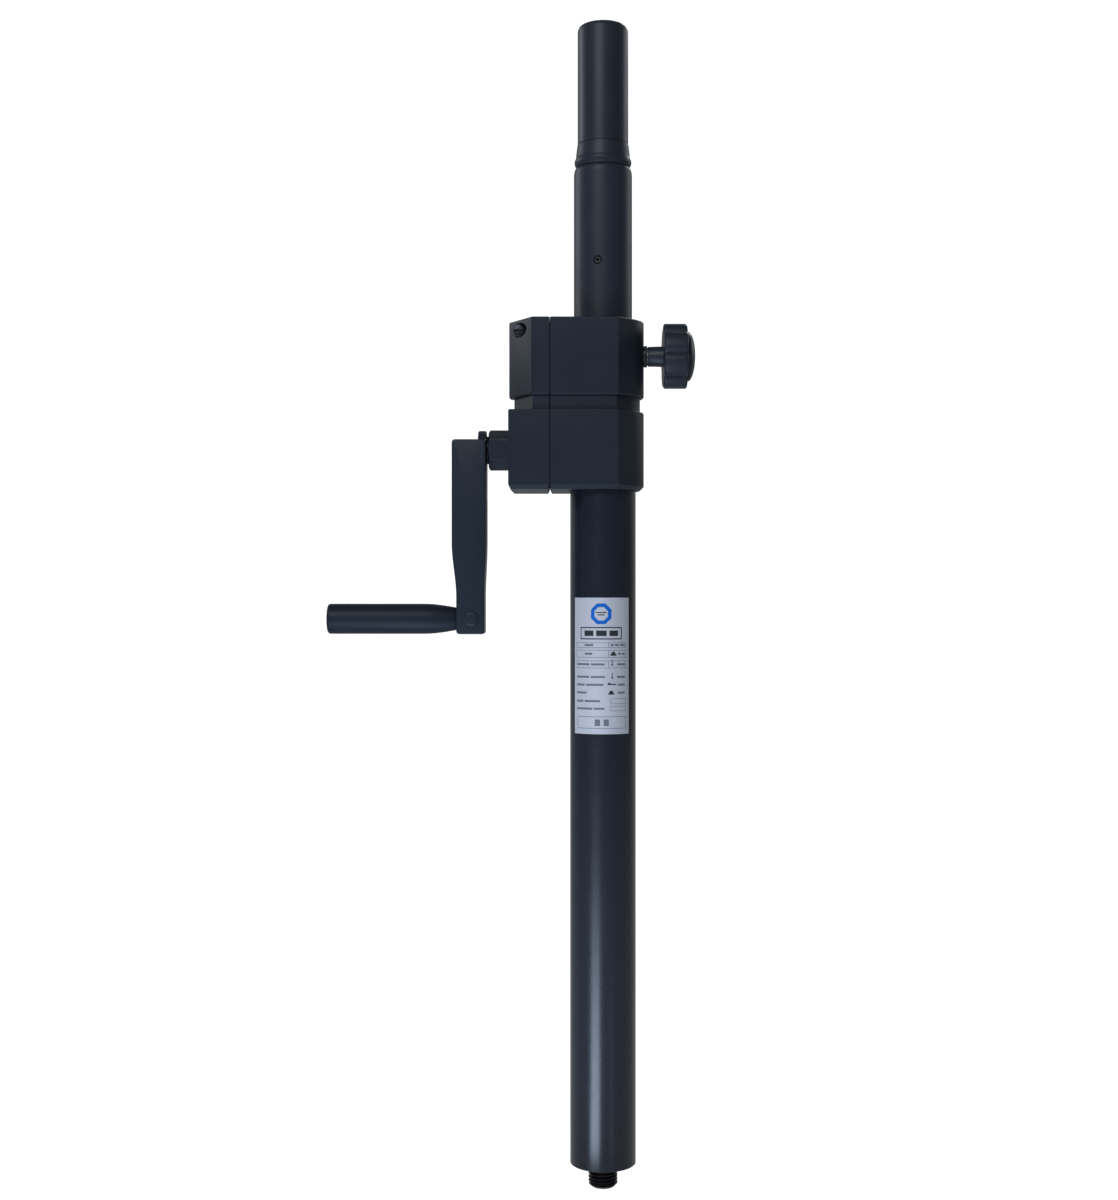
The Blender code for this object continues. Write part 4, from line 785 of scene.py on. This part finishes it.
# ---------------------------------------------------------------- spigot
# A 35 mm spigot for a loudspeaker or a bar: a steel core under a smooth black sleeve
# with a rounded top, over a stepped collar, and a set screw through the tube.
smooth_plastic = surface("smooth_black_plastic", (0.0135, 0.0175, 0.0255), 0.42, grain=1300, bump=0.012)
SPIGOT_R = 17.4
SPIGOT_BORE = 15.5
SPIGOT_TOP = 780.0
CROWN_R = 4.4
COLLAR_LOW = 682.3
COLLAR_TOP = 698.3
SLEEVE_LOW = 698.6
SLEEVE_ROOF = 770.4
collar = lathe([(17.42, COLLAR_TOP), (17.62, 697.6), (17.95, 695.6), (18.3, 692.4), (18.55, 689.4),
                (19.0, 688.0), (19.45, 687.2), (19.55, 686.7), (19.55, 685.3), (19.35, 684.5),
                (18.5, 682.7), (18.1, COLLAR_LOW), (SPIGOT_BORE, COLLAR_LOW), (SPIGOT_BORE, COLLAR_TOP)],
               steps=128)
fit("collar", collar, matt_coat, "mast", "tube_paint", "spigot_collar")
crown = [(0, SPIGOT_TOP)]
for degrees in range(0, 99, 9):
    turn = math.radians(degrees)
    crown.append((SPIGOT_R - CROWN_R + CROWN_R * math.sin(turn),
                  SPIGOT_TOP - CROWN_R + CROWN_R * math.cos(turn)))
crown += [(SPIGOT_R, SLEEVE_LOW + 0.2), (SPIGOT_R - 0.15, SLEEVE_LOW), (SPIGOT_BORE, SLEEVE_LOW),
          (SPIGOT_BORE, SLEEVE_ROOF), (0, SLEEVE_ROOF)]
spigot = lathe(crown, steps=128)
fit("spigot_cover", spigot, smooth_plastic, "mast", "black_plastic", "spigot_sleeve")
grub = on_grub_line(lathe([(0, 19.5), (2.0, 19.5), (2.5, 19.1), (2.5, 15.5), (0, 15.5)]))
grub_socket = on_grub_line(rod(1.3, 17.6, 22, steps=6))
fit("set_screw", carved(grub, [grub_socket]), black_oxide_and_painted_shade, "mast", "black_steel", "spigot_grub_screw")


# ---------------------------------------------------------------- crank bearing and shaft
# A hexagonal bearing nut screws into the cover, and the crank shaft runs through it
# with a collar, two flats for the arm and a threaded end.
satin_coat = surface("satin_crank_coat", (0.0105, 0.015, 0.0225), 0.38, grain=1400, bump=0.016, wear=0.1)
HEX_R = 14.0
HEX_LEFT = -78.3
HEX_RIGHT = -64.6
HEX_EDGE = 0.5
BEARING_BORE = 6.3
FLAT_HALF = 4.0
crank_at = (0, 0, CRANK_Z)
nut = rod(HEX_R, HEX_LEFT, HEX_RIGHT, 0.0, "X", crank_at, steps=6)
corners = [e for e in nut.edges if abs(e.verts[0].co.x - e.verts[1].co.x) > 10 * MM]
bmesh.ops.bevel(nut, geom=corners, offset=HEX_EDGE * MM, segments=2, affect="EDGES", profile=0.5, material=-1)
turned_down = lathe([(0, HEX_RIGHT), (13.2, HEX_RIGHT), (14.1, -65.1), (14.1, -77.0), (12.2, HEX_LEFT),
                     (0, HEX_LEFT)], "X", crank_at)
nut = carved(nut, [turned_down], "INTERSECT")
nut = carved(nut, [bar(8.2, -66, -50.6, "X", crank_at)], "UNION")
bore = lathe([(0, -80), (8.2, -80), (BEARING_BORE, -77.4), (BEARING_BORE, -50), (0, -50)], "X", crank_at)
nut = carved(nut, [bore])
fit("hex_bearing", nut, satin_coat, "lower_pole", "crank_paint", "crank_bearing_nut", sharp=20)

shaft = lathe([(0, -24.1), (4.0, -24.1), (4.0, -50.3), (6.0, -50.3), (6.0, -78.6), (9.3, -78.6), (9.5, -78.8),
               (9.5, -79.3), (9.3, -79.5), (5.0, -79.5), (5.0, -85.4), (4.6, -85.8), (2.6, -85.8),
               (2.6, -86.2), (3.0, -86.6), (3.0, -92.0), (2.6, -92.4), (0, -92.4)], "X", crank_at)
shaft = carved(shaft, [box((-87, -79.5), (FLAT_HALF, 8), (480, 497)),
                       box((-87, -79.5), (-8, -FLAT_HALF), (480, 497)),
                       bar(1.3, 480, 497, "Z", (-46.6, 0, 0))])
# The shaft is bright steel; its black finish is painted shade for its collar in the shadowed gap between the
# arm's lug and the hex.
fit("crank_shaft", shaft, black_oxide_and_painted_shade, "crank", "bright_steel", "worm_shaft")


# ---------------------------------------------------------------- crank arm
# A U-shaped pressed arm, open to the outside. It narrows in an S-curve towards the grip,
# and a round lug on top takes the shaft.
ARM_Y = 15.0
ARM_LEFT = -103.1
ARM_RIGHT = -79.8
ARM_LOW = 362.7
ARM_TOP = 495.2
ARM_EDGE = 0.9
CURVE_TOP = 425
CURVE_DROP = 37
LEFT_STEP = 3.1
RIGHT_STEP = 1.2
CHANNEL_HALF = 12
FOLD_X = -89.7
FOLD_Z = 373.1


def arm_plan(inset, seam):
    """Side view of the arm, upright, from its top corner round by the outer edge."""
    left = ARM_LEFT + inset
    right = ARM_RIGHT - inset
    low = ARM_LOW + inset
    high = ARM_TOP - inset
    corner = 2.2
    inner_corner = 1.6
    turns = [math.radians(18 * i) for i in range(6)]
    points = [(left + corner * (1 - math.cos(a)), high - corner * (1 - math.sin(a))) for a in reversed(turns)]
    bend = [(t * t * (3 - 2 * t), CURVE_TOP - CURVE_DROP * t) for t in (i / 18 for i in range(19))]
    points += [(left + LEFT_STEP * s, z) for s, z in bend]
    points += [(left + LEFT_STEP + corner * (1 - math.cos(a)), low + corner * (1 - math.sin(a)))
               for a in turns]
    points += [(right - RIGHT_STEP - inner_corner * (1 - math.sin(a)), low + inner_corner * (1 - math.cos(a)))
               for a in turns]
    points += [(right - RIGHT_STEP * s, z) for s, z in reversed(bend)]
    return points + [(right, high - 0.8), (right - 0.8, high)]


rounded = [(ARM_Y - ARM_EDGE * (1 - math.sin(a)), ARM_EDGE * (1 - math.cos(a)), 0)
           for a in (math.radians(30 * i) for i in range(4))]
levels = [(-height, inset, 0) for height, inset, _ in reversed(rounded)] + rounded
arm = stacked(levels, arm_plan, "-Y")
lug = lathe([(0, ARM_RIGHT), (12.5, ARM_RIGHT), (13.1, -80.05), (13.4, -80.7), (13.4, -84.6), (13.1, -85.25),
             (12.5, -85.5), (0, -85.5)], "X", crank_at)
arm = carved(arm, [lug], "UNION")
arm = carved(arm, [
    box((-115, -82.5), (-CHANNEL_HALF, CHANNEL_HALF), (366.3, 474)),
    box((-115, -85.5), (-CHANNEL_HALF, CHANNEL_HALF), (470, 510)),
    box((-86, -75), (-4, 4), (424, 454)),
    bar(5.3, -90, -75, "X", crank_at),
    bar(2.8, -20, 20, "Y", (FOLD_X, 0, FOLD_Z)),
])
fit("arm_channel", arm, satin_coat, "crank", "crank_paint", "crank_arm")


# ---------------------------------------------------------------- folding grip
# The grip folds on a headed pin through the arm. Its turned sleeve flares out from a narrow
# neck and spins on a steel axle, whose head is hidden by a pressed-in end cap.
fold_at = (FOLD_X, 0, FOLD_Z)
PIN_R = 2.5
KNUCKLE_R = 6.5
KNUCKLE_HALF = 11.4
pin = lathe([(0, 16.1), (3.6, 16.1), (4.4, 15.95), (4.8, 15.6), (4.8, 15.3), (PIN_R, 15.3), (PIN_R, -16.2),
             (PIN_R - 0.2, -16.4), (0, -16.4)], "-Y", fold_at)
fit("pivot_pin", pin, satin_coat, "crank", "black_steel", "grip_pivot_pin")
knuckle = lathe([(0, KNUCKLE_HALF), (KNUCKLE_R - 0.5, KNUCKLE_HALF), (KNUCKLE_R, KNUCKLE_HALF - 0.5),
                 (KNUCKLE_R, 0.5 - KNUCKLE_HALF), (KNUCKLE_R - 0.5, -KNUCKLE_HALF), (0, -KNUCKLE_HALF)],
                "Y", fold_at)
knuckle_neck = box((-100.2, FOLD_X), (-KNUCKLE_R, KNUCKLE_R), (FOLD_Z - 6.4, FOLD_Z + 6.4))
bmesh.ops.bevel(knuckle_neck, geom=knuckle_neck.edges[:], offset=0.5 * MM, segments=2, affect="EDGES",
                profile=0.5, material=-1)
knuckle = carved(knuckle, [knuckle_neck], "UNION")
knuckle = carved(knuckle, [bar(2.8, -15, 15, "Y", fold_at), bar(3.4, -105, -96, "X", (0, 0, FOLD_Z))])
fit("hinge_knuckle", knuckle, zinc_plate, "folding_grip", "bright_steel", "grip_knuckle")

GRIP_END = -188.9
GRIP_START = -100.5
GRIP_R = 10.35
GRIP_NECK_R = 7.85
GRIP_ROUND = 2.0
FLARE_START = -100.9
FLARE_LENGTH = 21.6
FLARE_STEPS = 16
CAP_SEAT_R = 7.3
AXLE_HEAD_X = -178.1
grip_at = (0, 0, FOLD_Z)
sleeve = [(CAP_SEAT_R, GRIP_START), (7.7, GRIP_START - 0.1)]
for share in (i / FLARE_STEPS for i in range(FLARE_STEPS + 1)):
    swell = (GRIP_R - GRIP_NECK_R) * math.sin(math.radians(90 * share))
    sleeve.append((GRIP_NECK_R + swell, FLARE_START - FLARE_LENGTH * share))
for turn in (math.radians(15 * i) for i in range(7)):
    sleeve.append((GRIP_R - GRIP_ROUND * (1 - math.cos(turn)), GRIP_END + GRIP_ROUND * (1 - math.sin(turn))))
sleeve += [(7.5, GRIP_END), (CAP_SEAT_R, GRIP_END + 0.3), (CAP_SEAT_R, GRIP_END + 3.4), (5.9, GRIP_END + 3.4),
           (5.9, AXLE_HEAD_X), (3.5, AXLE_HEAD_X), (3.5, GRIP_START)]
grip_plastic = surface("grip_plastic", (0.0085, 0.0125, 0.02), 0.45, grain=2600, bump=0.025, gleam=0.1)
fit("grip_tube", lathe(sleeve, "X", grip_at, steps=112), grip_plastic, "grip_sleeve_body", "black_plastic",
    "grip_sleeve")
plug = lathe([(0, GRIP_END + 0.9), (2.4, GRIP_END + 0.9), (3.0, GRIP_END + 0.3), (5.8, GRIP_END + 0.2),
              (6.6, GRIP_END + 0.35), (7.0, GRIP_END + 0.9), (7.0, GRIP_END + 3.1), (0, GRIP_END + 3.1)],
             "X", grip_at)
fit("grip_plug", plug, grip_plastic, "grip_sleeve_body", "black_plastic", "grip_end_cap")


# ---------------------------------------------------------------- clamp knob
# A seven-lobed knob turns a threaded stud that presses a brass pad on the mast.
# The screw's insert has a thin flange, and a domed cap closes the knob's outer end.
clamp_at = (0, 0, CLAMP_Z)
dark_brass = surface("dark_brass", (0.03, 0.03, 0.032), 0.38, metallic=0.6, grain=900, bump=0.01, wear=0.3)
STUD_BORE = 5.3
flange = lathe([(STUD_BORE, 30.2), (7.1, 30.2), (7.45, 29.9), (7.45, 29.4), (7.15, 29.25), (7.45, 29.1),
                (7.45, 28.3), (6.8, 28.3), (6.8, 25.7), (STUD_BORE, 25.7)], "X", clamp_at)
fit("insert_flange", flange, dark_brass, "lower_pole", "brass", "clamp_insert")
KNOB_R = 22.45
KNOB_LOBES = 7
KNOB_STEPS = 196
KNOB_ROUND = 1.6
VALLEY_DEPTH = 3.0
VALLEY_SHARPNESS = 1.6
KNOB_INNER = 42.8
KNOB_OUTER = 55.9
HUB_INNER = 30.6
CAP_R = 16.9
CAP_RISE = 5.0
CAP_SEAT = 57.8


def knob_plan(inset, seam):
    """Seven round lobes with narrow valleys, one of which faces the front."""
    points = []
    for i in range(KNOB_STEPS):
        angle = math.tau * i / KNOB_STEPS
        lobe = abs(math.sin(KNOB_LOBES / 2 * (angle - math.pi / 2)))
        radius = KNOB_R - inset - (VALLEY_DEPTH - 0.4 * inset) * (1 - lobe) ** VALLEY_SHARPNESS
        points.append((radius * math.cos(angle), radius * math.sin(angle)))
    return points


rim = [(KNOB_ROUND * math.sin(a), KNOB_ROUND * (1 - math.cos(a)))
       for a in (math.radians(15 * i) for i in range(7))]
levels = [(KNOB_INNER - rise, inset, 0) for rise, inset in reversed(rim)]
levels += [(KNOB_OUTER + rise, inset, 0) for rise, inset in rim]
knob = stacked(levels, knob_plan, "X", clamp_at)
hub = lathe([(0, 44), (7.6, 44), (7.6, 41.6), (7.25, 41.0), (7.05, 40.2), (6.8, 31.2), (6.5, 30.7),
             (6.2, HUB_INNER), (0, HUB_INNER)], "X", clamp_at)
knob = carved(knob, [hub], "UNION")
knob = carved(knob, [bar(STUD_BORE, 28, 50.4, "X", clamp_at), bar(4.3, 48, 60, "X", clamp_at)])
fit("lobed_knob", knob, smooth_plastic, "knob", "black_plastic", "clamp_knob", sharp=40)
dome = [(CAP_R * math.sin(a), CAP_SEAT + 0.5 + CAP_RISE * math.cos(a))
        for a in (math.radians(5 * i) for i in range(18))]
dome += [(16.98, 58.2), (16.7, CAP_SEAT), (4.0, CAP_SEAT), (4.0, 52.0), (0, 52.0)]
fit("knob_dome", lathe(dome, "X", clamp_at), smooth_plastic, "knob", "black_plastic", "knob_cap")


# ---------------------------------------------------------------- gears and other inner pieces
# The worm, its wheel, the rack and the small bushes and screws keep their CAD shapes.
# Each gets the finish of its metal or plastic.
machined_brass = surface("machined_brass", (0.6, 0.42, 0.16), 0.3, metallic=1.0, grain=800, bump=0.01,
                         wear=0.15)
machined_steel = surface("machined_steel", (0.5, 0.5, 0.51), 0.34, metallic=1.0, grain=800, bump=0.012,
                         wear=0.15)
guide_plastic = surface("guide_plastic", (0.22, 0.22, 0.215), 0.5, grain=900, bump=0.02)
FINISHES = {"brass": machined_brass, "bright_steel": machined_steel, "guide_plastic": guide_plastic,
            "black_steel": black_oxide_and_painted_shade, "black_plastic": smooth_plastic, "crank_paint": satin_coat}
slots = {part["node"]: part["material_slot"] for part in frame["record"]["subparts"]}
for node, thing in frame["nodes"].items():
    finish = FINISHES.get(slots[node])
    if finish:
        for holder in thing.material_slots:
            holder.link = "OBJECT"
            holder.material = finish
